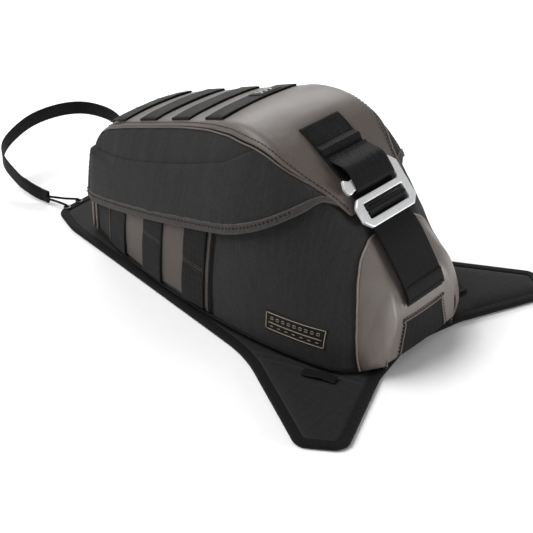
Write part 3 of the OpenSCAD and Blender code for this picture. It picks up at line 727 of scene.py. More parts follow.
for side, tag in SIDES:
    (xa, ya), (xb, yb) = EYELETS
    tie = -50.0 if side < 0 else -47.5
    points = spline([(xa, -side * ya, 7.4), (-246, side * (abs((ya + tie) / 2) - 1), 7.2),
                     (-257, side * (abs(tie) - 3), 8.2), (-259.5, side * abs(tie), 8.4),
                     (-257, side * (abs(tie) + 2.0), 8.2), (-246, side * abs((yb + tie) / 2), 7.2),
                     (xb, -side * yb, 7.4)], 8)
    ob = tube(f"bridle_{tag}", points, np.tile(UP, (len(points), 1)), CORD_R, "webbing", "strap",
              [f"bridle_cord_{tag}"], sides=10)

# ---------------------------------------------------------------- hood
seam_at = table([(0, 0.352), (240, 0.353), (275, 0.362), (300, 0.373), (325, 0.379), (345, 0.368),
                 (365, 0.354), (384, 0.335), (403, 0.307), (420, 0.293), (440, 0.278)], 6)
HEM_END = 424


def hem_low(s):
    end = np.clip((HEM_END - np.asarray(s)) / 20, 0, 1)
    return seam_at(s) + 0.004 + np.maximum(hood_edge(s) - seam_at(s) - 0.004, 0) * end * (2 - end)


def hem_high(s):
    return np.maximum(seam_at(s) + 0.004, hem_low(s) - 9.5 * (1 - SHARE) / (path_z(s) - BASE_Z))


def hood_top_edge(s):
    return seam_at(s) - 0.005


def top_lift(p, s, q, d):
    """The panel is padded: it swells between its edges, and the closure webbing pulls it in."""
    swell = 0.9 * (1 - np.exp(-d / 9.0))
    y = np.abs(p[:, 1])
    sewn = np.exp(-np.clip(y - 26, 0, None) / 5) * np.clip((s - 345) / 10, 0, 1)
    rolled = 0.4 * np.exp(-(d - 2.5) ** 2 / 0.5)
    return (swell - front_corner(s, p[:, 2]) - 1.1 * sewn + 0.25 * ripple(p, 55, 3) * np.clip(d / 12, 0, 1)
            - rolled)


def lens_z(s):
    return np.interp(path_x(s), [-186, -165, -114, -62, -16, 20, 49, 62],
                     [92, 96, 106, 122, 138, 153, 173, 186])


def lens_share(s):
    return np.clip(share_at_z(s, lens_z(s)), seam_at(s) + 0.003, hem_low(s) - 0.001)


def front_corner(s, z):
    """How far the hood's upper front corner sits back above the lens seam, in mm."""
    return (3.0 * np.clip((150 - s) / 34, 0, 1) ** 0.8 * np.clip((s - 60) / 22, 0, 1)
            * np.clip((z - 91) / 3, 0, 1))


def gusset_lift(side):
    def lift(p, s, q, d):
        """Above the lens seam the cloth lies lower. Below it the folded edge stands proud, with a belly."""
        below = (np.abs(q) - lens_share(s)) * Q_MM * 1.15
        step = np.where(below > 0, 1.1 * (1 - np.exp(-below / 0.7)), -0.55 * np.exp(below / 1.6))
        fade = np.clip((62 - path_x(s)) / 14, 0, 1)
        top_edge = (np.abs(q) - seam_at(s)) * Q_MM
        return (step * fade + 0.55 * ripple(p, 62, 11 + side) * np.clip(d / 14, 0, 1)
                + 0.16 * ripple(p, 17, 21 + side) + 0.5 * (1 - np.exp(-d / 10))
                - 0.9 * np.exp(-(top_edge / 2.2) ** 2) - front_corner(s, p[:, 2]))
    return lift


top_s = np.concatenate([crowded(HOOD_FRONT + 2, 350, 90, 3), np.linspace(352, REAR_TOP - 0.6, 26),
                        crowded(REAR_TOP, HOOD_TIP, 16, 2)])
lid_top = panel("lid_top_leather", top_s, lambda s: -hood_top_edge(s), hood_top_edge, (3.4, 4.7),
                "faux_leather", "lid", ["lid_top_panel"], columns=84, lift=top_lift, roll=0.9, roll_w=2.4)
for side, tag in SIDES:
    s = crowded(HOOD_FRONT + 1, HEM_END, 155, 2.5)
    lo, hi = sided(side, seam_at, lambda s: hem_low(s) + 0.002)
    gusset = panel(f"lid_gusset_{tag}", s, lo, hi, HOOD_CLOTH, "cordura", "lid", [f"lid_side_{tag}"],
                   columns=76, lift=gusset_lift(side), split=lambda s, side=side: side * lens_share(s),
                   turned="we")
    hem_s = crowded(45, HEM_END, 155, 2)
    panel(f"lid_hem_{tag}", hem_s, *sided(side, hem_high, hem_low), HEM_TAPE, "hem_tape", "lid",
          ["lid_hem_binding"], columns=14, roll=0.9, roll_w=1.6,
          lift=lambda p, s, q, d: 0.10 * ripple(p, 12, 31) - 1.4 * np.clip((s - 396) / 26, 0, 1))


def skirt_lift(p, s, q, d):
    """The lens seam runs on round the front of the hood."""
    below = 92 - p[:, 2]
    step = np.where(below > 0, 1.1 * (1 - np.exp(-below / 0.7)), -0.55 * np.exp(below / 1.6))
    return step - front_corner(s, p[:, 2]) + 0.4 * ripple(p, 50, 41) * np.clip(d / 12, 0, 1)


skirt = panel("lid_skirt", crowded(33, HOOD_FRONT + 1, 80, 2.2), lambda s: -hood_edge(s), hood_edge,
              HOOD_CLOTH, "cordura", "lid", ["lid_front_skirt"], columns=110, lift=skirt_lift, turned="we")
panel("lid_hem_front", crowded(33, 42.5, 5, 2), lambda s: -hood_edge(s), hood_edge, HEM_TAPE, "hem_tape",
      "lid", columns=60, roll=0.9, roll_w=1.6)


def sunk_corner(p, s, q, d):
    return -front_corner(s, p[:, 2])


# Tapes and lining inside the hood, along its seams
INNER_ROLL = dict(roll=0.3, roll_w=1.0)
for side, tag in SIDES:
    s = crowded(HOOD_FRONT - 2, HEM_END - 6, 90, 2)
    lo, hi = sided(side, lambda s: seam_at(s) - 0.035, lambda s: seam_at(s) + 0.035)
    panel(f"lid_seam_tape_{tag}", s, lo, hi, INNER_TAPE, "binding", "lid", columns=10, lift=sunk_corner,
          **INNER_ROLL)
    lo, hi = sided(side, lambda s: seam_at(s) + 0.01, lambda s: hem_low(s) - 0.02)
    lining = panel(f"lid_lining_{tag}", crowded(151, HEM_END - 26, 90, 2), lo, hi, (1.8, 2.5), "lining",
                   "lid", columns=40, lift=lambda p, s, q, d: 0.15 * ripple(p, 34, 123), **INNER_ROLL)
panel("lid_front_tape", crowded(106, 121, 8, 2), lambda s: -hood_edge(s) + 0.02,
      lambda s: hood_edge(s) - 0.02, INNER_TAPE, "binding", "lid", columns=110,
      lift=sunk_corner, **INNER_ROLL)

# Piping and stitches along the hood's edges
piping_s = np.concatenate([np.linspace(HOOD_FRONT + 3, REAR_TOP, 40),
                           np.linspace(REAR_TOP + 5, HOOD_TIP - 1, 8)])
rows_dark, rows_hem = [], []
for side, tag in SIDES:
    edge = side * (seam_at(piping_s) + 0.0015)
    sunk = front_corner(piping_s, path_z(piping_s))
    tube(f"lid_piping_{tag}", *seam(piping_s, edge, 4.5 - sunk, 5), 0.85, "faux_leather", "lid",
         ["lid_piping"], slot="piping")
    inner = side * (seam_at(piping_s) - 0.021)
    rows_dark.append(seam(piping_s[1:-1], inner[1:-1], 5.2 - sunk[1:-1], 5))
    hem = np.linspace(50, REAR_TOP - 8, 60)
    rows_hem.append(seam(hem, side * (hem_high(hem) + 0.016), 6.6, 4))
rows_hem.append(seam(41.0, np.linspace(-0.45, 0.45, 30), 6.6, 2))
stitches("lid_stitches", rows_dark, "thread_dark", "lid", pitch=3.9, length=2.4, radius=0.42)
stitches("lid_hem_stitches", rows_hem, "thread_dark", "lid", pitch=4.2, length=2.2, radius=0.6)

# Lashing strips, badge and closure webbing on the hood
lash_s = [136.5 + 46.5 * k for k in range(4)]
lash_rows = []
for k, centre in enumerate(lash_s):
    panel(f"lashing_strip_{k + 1}", crowded(centre - 12, centre + 12, 9, 1.6), -0.320, 0.320, (5.0, 7.4),
          "webbing", "lid", ["lid_webbing"], columns=70, roll=0.9, roll_w=1.3,
          lift=lambda p, s, q, d: 0.5 * (1 - np.exp(-np.clip(0.285 - np.abs(q), 0, 1) * Q_MM / 6))
          + 0.12 * ripple(p, 26, 51) - 0.8 * front_corner(s, p[:, 2]))
    for end in (-0.303, -0.1, 0.1, 0.303):
        lash_rows.append(seam(np.linspace(centre - 9.5, centre + 9.5, 6), end, 7.55, 3))
stitches("lashing_stitches", lash_rows, "thread_dark", "lid", pitch=2.2, length=1.7, radius=0.35)
badge_s = lash_s[3]
panel("badge_cloth", crowded(badge_s - 9, badge_s + 9, 8, 1.5), 0.04, 0.22, (8.0, 8.7), "label", "lid",
      ["badge_patch"], columns=26, roll=0.5, roll_w=1.0, slot="badge")
for k, q0 in enumerate((0.075, 0.115, 0.155)):
    chevron = seam([badge_s + 5, badge_s, badge_s - 5], [q0, q0 + 0.022, q0], 8.9, 8)
    tube(f"badge_bar_{k + 1}", *chevron, 0.75, "badge", "lid", sides=8, squeeze=0.6)

web_s = crowded(352, 404, 60, 2)
half_web = (lambda s: share_at_y(s, 25.0))


def fold_lift(p, s, q, d):
    """Two soft folds across the webbing, where it is sewn down between them."""
    folds = 3.0 * np.exp(-((s - 378) / 3.8) ** 2) + 1.4 * np.exp(-((s - 390) / 3.6) ** 2)
    return folds * (0.93 + 0.07 * np.cos(q * 40)) + 0.12 * ripple(p, 20, 61)


panel("closure_webbing_upper", web_s, lambda s: -half_web(s), half_web, (5.2, 6.7), "webbing", "lid",
      ["closure_webbing"], columns=40, roll=0.8, roll_w=1.1, lift=fold_lift)
WEB_STITCH = dict(pitch=2.6, length=1.9, radius=0.36)
web_rows = [seam(s0, np.linspace(-0.128, 0.128, 8), 6.95, 3) for s0 in (354, 356.6, 370.5, 386)]
s = np.linspace(354, 370, 6)
web_rows += [seam(s, side * share_at_y(s, 23.0), 6.95, 3) for side in (-1, 1)]
stitches("closure_web_stitches", web_rows, "thread_dark", "lid", **WEB_STITCH)

# ---------------------------------------------------------------- hook and straps
HOOK_POS, HOOK_A = np.array([135.8, 0.0, 134.9]), math.radians(47)
HOOK_U = np.array([-math.cos(HOOK_A), 0, math.sin(HOOK_A)])
HOOK_V = np.array([math.sin(HOOK_A), 0, math.cos(HOOK_A)])
HOOK_W, HOOK_H, HOOK_T, BAR_R, BAR_U = 70.0, 27.0, 4.0, 1.5, -4.0
ARM_U, ARM_W, WEB_T = 30.0, 11.0, 1.4
Y = np.array([0.0, 1.0, 0.0])


def hook_at(u, v):
    return HOOK_POS + u * HOOK_U + v * HOOK_V


def at(s, d):
    return skin(np.array(float(s)), np.array(0.0), d)[0]


def plate(name, outer, holes, thick, bevel, material, body, nodes, place):
    """A flat metal plate with rounded edges, cut from outlines in its own plane."""
    curve = bpy.data.curves.new(name, "CURVE")
    curve.dimensions, curve.fill_mode = "2D", "BOTH"
    curve.extrude, curve.offset = thick / 2 - bevel, -bevel
    curve.bevel_depth, curve.bevel_resolution = bevel, 4
    for outline in [outer] + holes:
        line = curve.splines.new("POLY")
        line.points.add(len(outline) - 1)
        flat = np.column_stack([outline, np.zeros(len(outline)), np.ones(len(outline))])
        line.points.foreach_set("co", flat.ravel())
        line.use_cyclic_u = True
    ob = bpy.data.objects.new(name + "_line", curve)
    mesh = bpy.data.meshes.new_from_object(ob)
    bpy.data.objects.remove(ob)
    placed = place(np.array([v.co for v in mesh.vertices]))
    mesh.vertices.foreach_set("co", (placed * MM).astype(np.float32).ravel())
    mesh.name = name
    mesh.materials.clear()
    mesh.materials.append(M[material])
    bm = bmesh.new()
    bm.from_mesh(mesh)
    bmesh.ops.remove_doubles(bm, verts=bm.verts, dist=1e-6)
    bmesh.ops.recalc_face_normals(bm, faces=bm.faces)
    bm.to_mesh(mesh)
    bm.free()
    mesh.shade_smooth()
    mesh.set_sharp_from_angle(angle=math.radians(35))
    ob = link(bpy.data.objects.new(name, mesh))
    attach(ob, body)
    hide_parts(*nodes)
    return ob


h, low = HOOK_W / 2, 9 - HOOK_H
# The arm ends in a drop with its point upwards, which keeps the webbing from sliding off
frame_line = [(-h + 7, low, 3), (h - 7, low, 3), (h, low + 7, 3), (h, ARM_U - 7, 3), (h - 7, ARM_U, 3),
              (-h + 8, 25.5, 1), (-h + 2.5, 28.5, 0.8), (-h - 0.6, 21.5, 3.0), (-h + 1.5, 13.6, 3.2),
              (-h + 7.5, 15.8, 3), (h - 9, ARM_U - ARM_W, 2), (h - 9, 9, 2), (-h + 6, 9, 3), (-h, 3, 3),
              (-h, low + 7, 3)]
outline = rounded(frame_line, 6, ring=True)
slot_line = rounded([(-26, -11, 1.5), (26, -11, 1.5), (26, 3, 1.5), (-26, 3, 1.5)], 5, ring=True)
plate("hook_plate", outline, [slot_line], HOOK_T, 1.0, "alu", "hook", ["g_hook"],
      lambda p: HOOK_POS + p[:, 1:2] * HOOK_U + p[:, 0:1] * Y + p[:, 2:3] * HOOK_V)
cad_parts["hook_bar"].material_slots[0].material = M["steel"]

lift = HOOK_T / 2 + 0.4 + WEB_T / 2
loop_top, loop_low = ARM_U + 1.2, ARM_U - ARM_W - 3.4
loop_line = spline([at(386, 8.6), at(391, 9.6), hook_at(loop_top + 6.5, 1.2), hook_at(loop_top, lift + 0.3),
                    hook_at(loop_top - 6, lift + 0.5), hook_at(loop_low + 2, lift),
                    hook_at(loop_low - 0.8, lift - 1.4), hook_at(loop_low - 0.8, 1 - lift),
                    hook_at(loop_low + 1, -lift), hook_at(loop_low + 6, -lift - 0.2)], 8)
strap("catch_loop_web", loop_line, Y, 50, WEB_T, "webbing", "lid", ["catch_loop"],
      shape=lambda u, v: 0.1 * np.sin(u / 3.1))

STRAP_W = 49.0
panel("catch_loop_tab", crowded(401, 433.5, 14, 1.5), lambda s: -half_web(s), half_web, (5.1, 6.4),
      "webbing", "lid", columns=30, roll=0.6, roll_w=1.0)
tail_line = spline([at(521.5, 6.3), at(511, 6.8), at(502, 7.4), at(492, 7.9), at(476, 8.5), at(464, 7.8),
                    hook_at(-19, -3.7)], 8)
strap("closure_tail_web", tail_line, Y, 50, WEB_T, "webbing", "closure", ["closure_tail"], camber=-0.35,
      shape=lambda u, v: 0.22 * np.sin(u / 11) * (v / 25))
strap_line = spline([at(524, 3.9), at(516, 4.2), at(507, 4.9), at(492, 5.9), at(476, 6.6), at(464, 5.9),
                     hook_at(-19, -5.6)], 8)
strap("closure_strap_web", strap_line, Y, STRAP_W, WEB_T, "webbing", "closure", ["closure_strap"])
hem_line = spline([at(521.3, 7.2), at(515, 7.5), at(509.5, 7.8)], 8)
strap("closure_tail_hem", hem_line, Y, 49.6, 1.0, "webbing", "closure", camber=-0.35)
hem_rows = []
for s0, d in ((510.6, 8.45), (519.6, 8.0)):
    p = np.array([at(s0, d) + Y * y for y in np.linspace(-23.5, 23.5, 24)])
    hem_rows.append((p, np.tile(skin(np.array(float(s0)), np.array(0.0))[1], (24, 1))))
stitches("closure_tail_stitches", hem_rows, "thread_dark", "closure", **WEB_STITCH)
r = BAR_R + 0.3 + WEB_T / 2
round_bar = [hook_at(BAR_U + r * math.cos(a), r * math.sin(a)) for a in np.radians(np.linspace(190, -60, 11))]
wrap_line = spline([hook_at(-18.4, -3.7), hook_at(-12, -3.4), hook_at(-8.4, -2.2)] + round_bar
                   + [hook_at(-7, -4.3), hook_at(-12, -5.3), hook_at(-18.4, -5.6)], 5)
strap("strap_wrap_web", wrap_line, Y, STRAP_W, WEB_T, "webbing", None, ["strap_wrap"],
      blend=("closure", "hook", tuple(hook_at(-19, -4.6) * MM), tuple(hook_at(BAR_U, 0) * MM)))

# ---------------------------------------------------------------- body
def belly(seed, amount=0.5):
    return lambda p, s, q, d: (amount * ripple(p, 70, seed) * np.clip(d / 14, 0, 1)
                               + 0.14 * ripple(p, 15, seed + 1) + 0.4 * (1 - np.exp(-d / 9)))


def side_lift(seed):
    soft = belly(seed)

    def lift(p, s, q, d):
        """Cordura, with a deep gap behind the piping where the leather trim ends."""
        x = path_x(s)
        gap = np.clip((x - 18.6) / 0.6, 0, 1) * np.clip((23.6 - x) / 0.9, 0, 1)
        return soft(p, s, q, d) - 1.9 * gap
    return lift


gap_s = float(s_at(21.5))
side_s = np.concatenate([crowded(101, gap_s - 7, 96, 2), np.linspace(gap_s - 6, gap_s + 6, 19),
                         crowded(gap_s + 7, REAR_TOP, 40, 2)])
for side, tag in SIDES:
    lo, hi = sided(side, 0.40, CLOTH_FOOT)
    shell_side = panel(f"side_cordura_{tag}", side_s, lo, hi, BODY_CLOTH, "cordura", "bag",
                       [f"side_panel_{tag}"], columns=70, lift=side_lift(81), turned="we",
                       roll=1.0, roll_w=2.5)
rear = panel("rear_cordura", crowded(REAR_TOP, 572, 80, 2), -CLOTH_FOOT, CLOTH_FOOT, BODY_CLOTH, "cordura",
             "bag", ["rear_panel"], columns=150, lift=belly(81), turned="we", roll=1.0, roll_w=2.5)
front = panel("front_leather", crowded(5, 100, 44, 2), -0.985, 0.985, BODY_CLOTH, "faux_leather", "bag",
              ["front_panel"], columns=110, lift=belly(91, 0.3), turned="nwe", roll=1.0, roll_w=2.5)
for side, tag in SIDES:
    for name, s0, d, radius in (("front_piping", 91.0, 3.0, 1.5), ("front_welt", 106.0, 1.5, 1.1)):
        edge = seam(s0, side * np.linspace(0.6, 0.985, 14), d, 4)
        tube(f"{name}_{tag}", *edge, radius, "piping", "bag", slot="piping")

# Leather, webbing and piping on the sides
TRIM_X, STRIPS_X, STRIP_W = (-140.0, 18.0), (-1.0, -62.5, -124.0), 30.0


def under_hem(lap):
    return lambda s: share_at_z(s, hem_z(path_x(s)) + lap)


for side, tag in SIDES:
    a, b = (float(s_at(x)) for x in TRIM_X)
    trim = panel(f"side_leather_{tag}", crowded(a + 2, b - 2, 90, 2), *sided(side, under_hem(10), TRIM_FOOT),
                 (0.3, 1.3), "trim_leather", "bag", [f"side_trim_{tag}"], columns=60, roll=0.6, roll_w=2.0,
                 lift=lambda p, s, q, d: 0.5 * (1 - np.exp(-d / 7)) + 0.18 * ripple(p, 38, 95))
    rows = []
    for k, x in enumerate(STRIPS_X):
        lo, hi = sided(side, under_hem(8), STRIP_FOOT)
        a, b = float(s_at(x - STRIP_W / 2 + (3.5 if k == 2 else 0))), float(s_at(x + STRIP_W / 2))
        tack = [float(share_at_z((a + b) / 2, z)) for z in (54.0, 9.5)]

        def loose(p, s, q, d, tack=tack):
            """The strip stands off between its rows of stitches."""
            free = np.abs(np.abs(q) - tack[0]) * Q_MM
            return 1.1 * (1 - np.exp(-free / 7)) + 0.15 * ripple(p, 24, 97)

        panel(f"side_strip_{tag}_{k + 1}", crowded(a, b, 12, 1.4), lo, hi, (1.7, 2.9), "webbing", "bag",
              [f"side_webbing_{tag}"], columns=60, roll=0.8, roll_w=1.1, lift=loose)
        s = np.linspace(a + 2, b - 2, 8)
        rows += [seam(s, side * share_at_z(s, z), 3.1, 3) for z in (54.0, 51.8)]
    stitches(f"side_strip_stitches_{tag}", rows, "thread_grey", "bag", pitch=2.6, length=1.9, radius=0.4)
    for k, x in enumerate(TRIM_X):
        s = float(s_at(x))
        q = side * np.linspace(float(share_at_z(s, hem_z(x) + 6)), 0.972, 16)
        tube(f"side_piping_{tag}_{k + 1}", *seam(s, q, 1.9, 4), 0.8, "trim_piping", "bag",
             [f"side_piping_{tag}"], slot="piping")

# The label: a plain frame with a row of lozenges and a row of dashes
LABEL_X, LABEL_Z = (86.0, 146.0), (26.0, 45.0)
label_s = (float(s_at(LABEL_X[0])), float(s_at(LABEL_X[1])))
panel("label_cloth", crowded(*label_s, 40, 1.5), lambda s: -share_at_z(s, LABEL_Z[0]),
      lambda s: -share_at_z(s, LABEL_Z[1]), (0.4, 1.25), "label", "bag", ["label_patch"], columns=24,
      roll=0.5, roll_w=1.0)


def on_label(x, z, d=1.35):
    s = s_at(np.asarray(x, float))
    return skin(s, -share_at_z(s, np.asarray(z, float)), d)


def label_line(name, xs, zs, radius):
    line = on_label(np.linspace(*xs, 30), np.linspace(*zs, 30))
    tube(name, *line, radius, "thread_light", "bag", sides=6, squeeze=0.5, slot="label")


x0, x1, z0, z1 = LABEL_X[0] + 1.6, LABEL_X[1] - 1.6, LABEL_Z[0] + 1.6, LABEL_Z[1] - 1.6
zm = z0 + 0.42 * (z1 - z0)
for name, xs, zs in (("label_top", (x0, x1), (z1, z1)), ("label_foot", (x0, x1), (z0, z0)),
                     ("label_middle", (x0 + 2, x1 - 2), (zm, zm)), ("label_end_1", (x0, x0), (z0, z1)),
                     ("label_end_2", (x1, x1), (z0, z1))):
    label_line(name, xs, zs, 0.42)
z = (z1 + zm) / 2
marks = [on_label([x - 1.5 * half, x, x + 1.5 * half], [z, z + 1.9 * half, z])
         for x in np.linspace(x0 + 6, x1 - 6, 9) for half in (-1, 1)]
stitches("label_lozenges", marks, "thread_light", "bag", pitch=2.2, length=2.0, radius=0.3, slot="label")
dashes = [on_label([x - 2, x, x + 2], [(z0 + zm) / 2] * 3) for x in np.linspace(x0 + 6, x1 - 6, 7)]
stitches("label_dashes", dashes, "thread_light", "bag", pitch=4.0, length=3.2, radius=0.3, slot="label")


# The arch at the rear
def arch_share(s):
    s = np.asarray(s, float)
    return np.interp(s, [457.6, 459, 463, 467, 475, 483, 489, 493, 497, 500, 502.5, 576],
                     [0.14, 0.24, 0.31, 0.39, 0.46, 0.52, 0.585, 0.65, 0.755, 0.88, 0.975, 0.975])


def arch_lift(p, s, q, d):
    """Padded lobes either side of the strap."""
    y = np.abs(p[:, 1])
    lobe = np.clip((y - 26) / 24, 0, 1)
    full = np.clip((s - 462) / 30, 0, 1) * np.clip((574 - s) / 40, 0.25, 1)
    swell = 0.4 + 5.6 * full * lobe * lobe * (3 - 2 * lobe)
    return swell * (1 - np.exp(-d / 11)) + 0.15 * ripple(p, 45, 101)


arch_s = np.concatenate([457.8 + 45 * np.linspace(0, 1, 50) ** 1.4, np.linspace(503.4, 568, 46), [569, 570]])
# The arch takes the lighter copy of the hood's leather, which is painted light on its lobes
arch = panel("rear_arch_leather", arch_s, lambda s: -arch_share(s), arch_share, (0.9, 1.9), "painted_lit_arch_leather",
             "bag", ["rear_arch_panel"], columns=120, roll=0.9, roll_w=2.6, lift=arch_lift)
s = np.array([502.6, 501.3, 500, 498.5, 497, 495, 493, 491, 489, 486, 483, 479, 475, 471, 467, 463, 460])
q = arch_share(s) + 0.003
half_s, half_q = np.append(s, [458.2]), np.append(q, [0.12])
s, q = np.concatenate([half_s, [457.4], half_s[::-1]]), np.concatenate([-half_q, [0.0], half_q[::-1]])
tube("arch_piping", *seam(s, q, 1.5, 4), 0.9, "piping", "bag", ["rear_arch_piping"])

patch_s = crowded(537, 569, 20, 2)


def patch_half(s):
    return share_at_y(s, 25 + 7 * (np.asarray(s, float) - 537) / 32)


panel("rear_window_cloth", patch_s, lambda s: -patch_half(s), patch_half, (2.0, 2.7), "webbing", "bag",
      ["rear_patch"], columns=40, roll=0.4, roll_w=1.0)
s = np.concatenate([[569, 553, 540.5], np.full(6, 537.0), [540.5, 553, 569]])
leg = patch_half([569, 553, 540.5])
q = np.concatenate([-leg, np.linspace(-0.235, 0.235, 6), leg[::-1]])
tube("rear_window_lip", *seam(s, q, 2.9, 8), 0.85, "faux_leather", "bag", slot="piping")
line = seam(s - np.where(np.arange(12) > 1, 2.6, 0) * (np.arange(12) < 10), q * 1.09, 3.0, 8)
stitches("rear_window_stitches", [line], "thread_dark", "bag", pitch=3.6, length=2.2, radius=0.55)

# ---------------------------------------------------------------- inside of the bag
for side, tag in SIDES:
    lo, hi = sided(side, 0.42, 0.92)
    foam = panel(f"side_padding_{tag}", crowded(116, 472, 60, 3), lo, hi, (-5.6, -2.2), "foam", "bag",
                 [f"side_foam_{tag}"], columns=30, roll=1.2, roll_w=3)
    lo, hi = sided(side, 0.43, lambda s: share_at_z(s, 13.0))
    liner = panel(f"liner_side_{tag}", crowded(108, 482, 70, 2), lo, hi, (-7.3, -6.3), "lining", "bag",
                  ["inner_liner"], columns=40, roll=0.4, roll_w=1.2,
                  lift=lambda p, s, q, d: 0.25 * ripple(p, 30, 111))
for name, a, b in (("front", 14, 96), ("rear", 408, 560)):
    liner = panel(f"liner_{name}", crowded(a, b, 50, 2), -0.32, 0.32, (-7, -6), "lining", "bag", columns=40,
                  roll=0.4, roll_w=1.2, lift=lambda p, s, q, d: -0.2 + 0.2 * ripple(p, 30, 113))


def outline_of(x, half):
    """A closed outline with the same half width on either side of the middle."""
    return np.concatenate([np.column_stack([x, -half]), np.column_stack([x[::-1], half[::-1]])])


def foot(inset):
    x = np.linspace(-189 + inset, 183 - inset, 60)
    return outline_of(x, np.maximum(base_half(x), 45) - inset)


slab("liner_floor", foot(9), 10.6, lambda p, d: 11.5 + 0 * d, "lining", "bag", step=9, fine=4)
slab("base_cloth", foot(2.6), 6.9, lambda p, d: 8.0 - 0.3 * np.exp(-d / 1.5), "cordura", "bag", ["bag_base"],
     step=12, fine=4)
x = np.linspace(-186, 180, 70)
loop = outline_of(x, base_half(x))
loop = even(np.concatenate([loop, loop[:1]]), 3.0)[:-1]
welt = np.column_stack([loop, np.full(len(loop), 9.4)])
WELT_R = 1.5
a = np.arange(10) * math.pi / 5
out = unit(np.column_stack([tangents(welt)[:, 1], -tangents(welt)[:, 0], np.zeros(len(welt))]))
rings = (welt[:, None] + out[:, None] * (0.4 + WELT_R * np.cos(a))[None, :, None]
         + np.array([0, 0, WELT_R])[None, None] * np.sin(a)[None, :, None])
loft("base_welt", rings, "binding", "bag", ring=True, slot="cordura",
     weave=cloth_map(lengths(welt), a * WELT_R, 4.0))
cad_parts["base_board"].material_slots[0].material = M["board"]
rim = np.linspace(102, 400, 40)
for side, tag in SIDES:
    line = seam(rim, side * 0.392, -0.7, 4)
    tube(f"rim_tape_{tag}", *line, 1.7, "binding", "bag", ["rim_binding"], squeeze=0.7)
for k, s in enumerate((101.6, 400.4)):
    line = seam(s, np.linspace(-0.388, 0.388, 14), -0.7, 4)
    tube(f"rim_tape_end_{k + 1}", *line, 1.7, "binding", "bag", squeeze=0.7)
lid_pad = panel("lid_padding", crowded(128, 392, 60, 3), -0.31, 0.31, (-0.8, 2.7), "foam", "lid",
                ["lid_foam"], columns=50, roll=1.2, roll_w=3)
lid_lining = panel("lid_lining_cloth", crowded(130, 390, 60, 2), -0.305, 0.305, (-2.3, -1.3), "lining", "lid",
                   ["lid_lining"], columns=44, roll=0.4, roll_w=1.2,
                   lift=lambda p, s, q, d: 0.2 * ripple(p, 36, 121))

# ---------------------------------------------------------------- apron
HALF = [(-239, 0, 0), (-235, -57, 14), (-200, -70, 60), (78, -111, 150), (191, -173, 14), (225, -150, 14),
        (186, -58, 70), (174, 0, 0)]
GRIP_T, MAT_TOP, WING_TOP, BIND_W, FOLD = 1.2, 4.8, 7.6, 9.0, 4.0
half = rounded(HALF, 16)
edge_line = even(np.concatenate([half, (half * [1, -1])[-2:0:-1], half[:1]]), 1.5)[:-1]
along = np.gradient(np.concatenate([edge_line[-2:], edge_line, edge_line[:2]]), axis=0)[2:-2]
edge_in = unit(np.stack([-along[:, 1], along[:, 0]], 1))
inner_line = edge_line + edge_in * BIND_W
FOLD_A, FOLD_B = np.array([66.0, -113.0]), np.array([184.0, -73.0])
fold_dir = unit(FOLD_B - FOLD_A)
fold_out = np.array([fold_dir[1], -fold_dir[0]])


def past_fold(p, side):
    """mm past the fold line, towards the tip of that side's wing."""
    q = np.asarray(p, float)[..., :2] * [1, -side]
    return (q - FOLD_A) @ fold_out


def clipped(loop, keep):
    """The part of a closed outline where keep is above 0."""
    out, v = [], keep(loop)
    for i in range(len(loop)):
        j = (i + 1) % len(loop)
        if v[i] > 0:
            out.append(loop[i])
        if (v[i] > 0) != (v[j] > 0):
            out.append(loop[i] + (loop[j] - loop[i]) * v[i] / (v[i] - v[j]))
    return np.array(out)


closed_edge = np.concatenate([edge_line, edge_line[:1]])


def apron_top(p, d):
    """Height of the padded cloth: flat in the middle, swelling into the wings, pinched by the binding."""
    rim_d = from_line(p, closed_edge) - BIND_W
    past = np.maximum(past_fold(p, -1), past_fold(p, 1))
    wing = np.clip((past + 16) / 42, 0, 1)
    wing = wing * wing * (3 - 2 * wing)
    top = MAT_TOP - 0.25 + (WING_TOP - MAT_TOP + 0.2) * wing
    p3 = np.column_stack([p, np.zeros(len(p))])
    soft = 0.18 * ripple(p3, 60, 131) * np.clip(rim_d / 12, 0, 1) * (0.3 + wing)
    swell = 1 - np.exp(-np.clip(rim_d, 0, None) / (3.2 + 1.5 * wing))
    return MAT_TOP - 0.9 + (top - MAT_TOP + 0.9) * swell + soft


GAP = 0.12
mat_loop = inner_line
for side in (-1, 1):
    mat_loop = clipped(mat_loop, lambda p: -FOLD - GAP - past_fold(p, side))
mat = slab("apron_mat_cloth", mat_loop, GRIP_T + 0.1, apron_top, "neoprene", "bag", ["apron_mat"], step=7)
slab("apron_grip", mat_loop, lambda p, d: 0.4 * np.exp(-d / 1.5), GRIP_T, "grip", "bag", ["grip_backing"],
     step=14, fine=5)
fold_blends = {}
for side, tag in SIDES:
    wing = f"wing_{tag}"
    loop = clipped(inner_line, lambda p: past_fold(p, side) - FOLD - GAP)
    pad = slab(f"wing_cloth_{tag}", loop, GRIP_T + 0.1, apron_top, "neoprene", wing,
               [f"wing_pad_{tag}"], step=5)
    slab(f"wing_grip_sheet_{tag}", loop, lambda p, d: 0.4 * np.exp(-d / 1.5), GRIP_T, "grip", wing,
         [f"wing_grip_{tag}"], step=12, fine=5)
    middle = (FOLD_A + FOLD_B) / 2
    start, end = (((middle + fold_out * d) * [1, -side]) * MM for d in (-FOLD, FOLD))
    fold_blends[tag] = ("bag", wing, (*start, 0.004), (*end, 0.004))
    loop = clipped(inner_line, lambda p: past_fold(p, side) + FOLD)
    loop = clipped(loop, lambda p: FOLD - past_fold(p, side))
    slab(f"fold_cloth_{tag}", loop, 0.6, apron_top, "neoprene", None, [f"wing_fold_{tag}"], step=3, fine=1.6,
         margin=3, blend=fold_blends[tag])
    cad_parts[f"wing_magnets_{tag}"].material_slots[0].material = M["steel"]


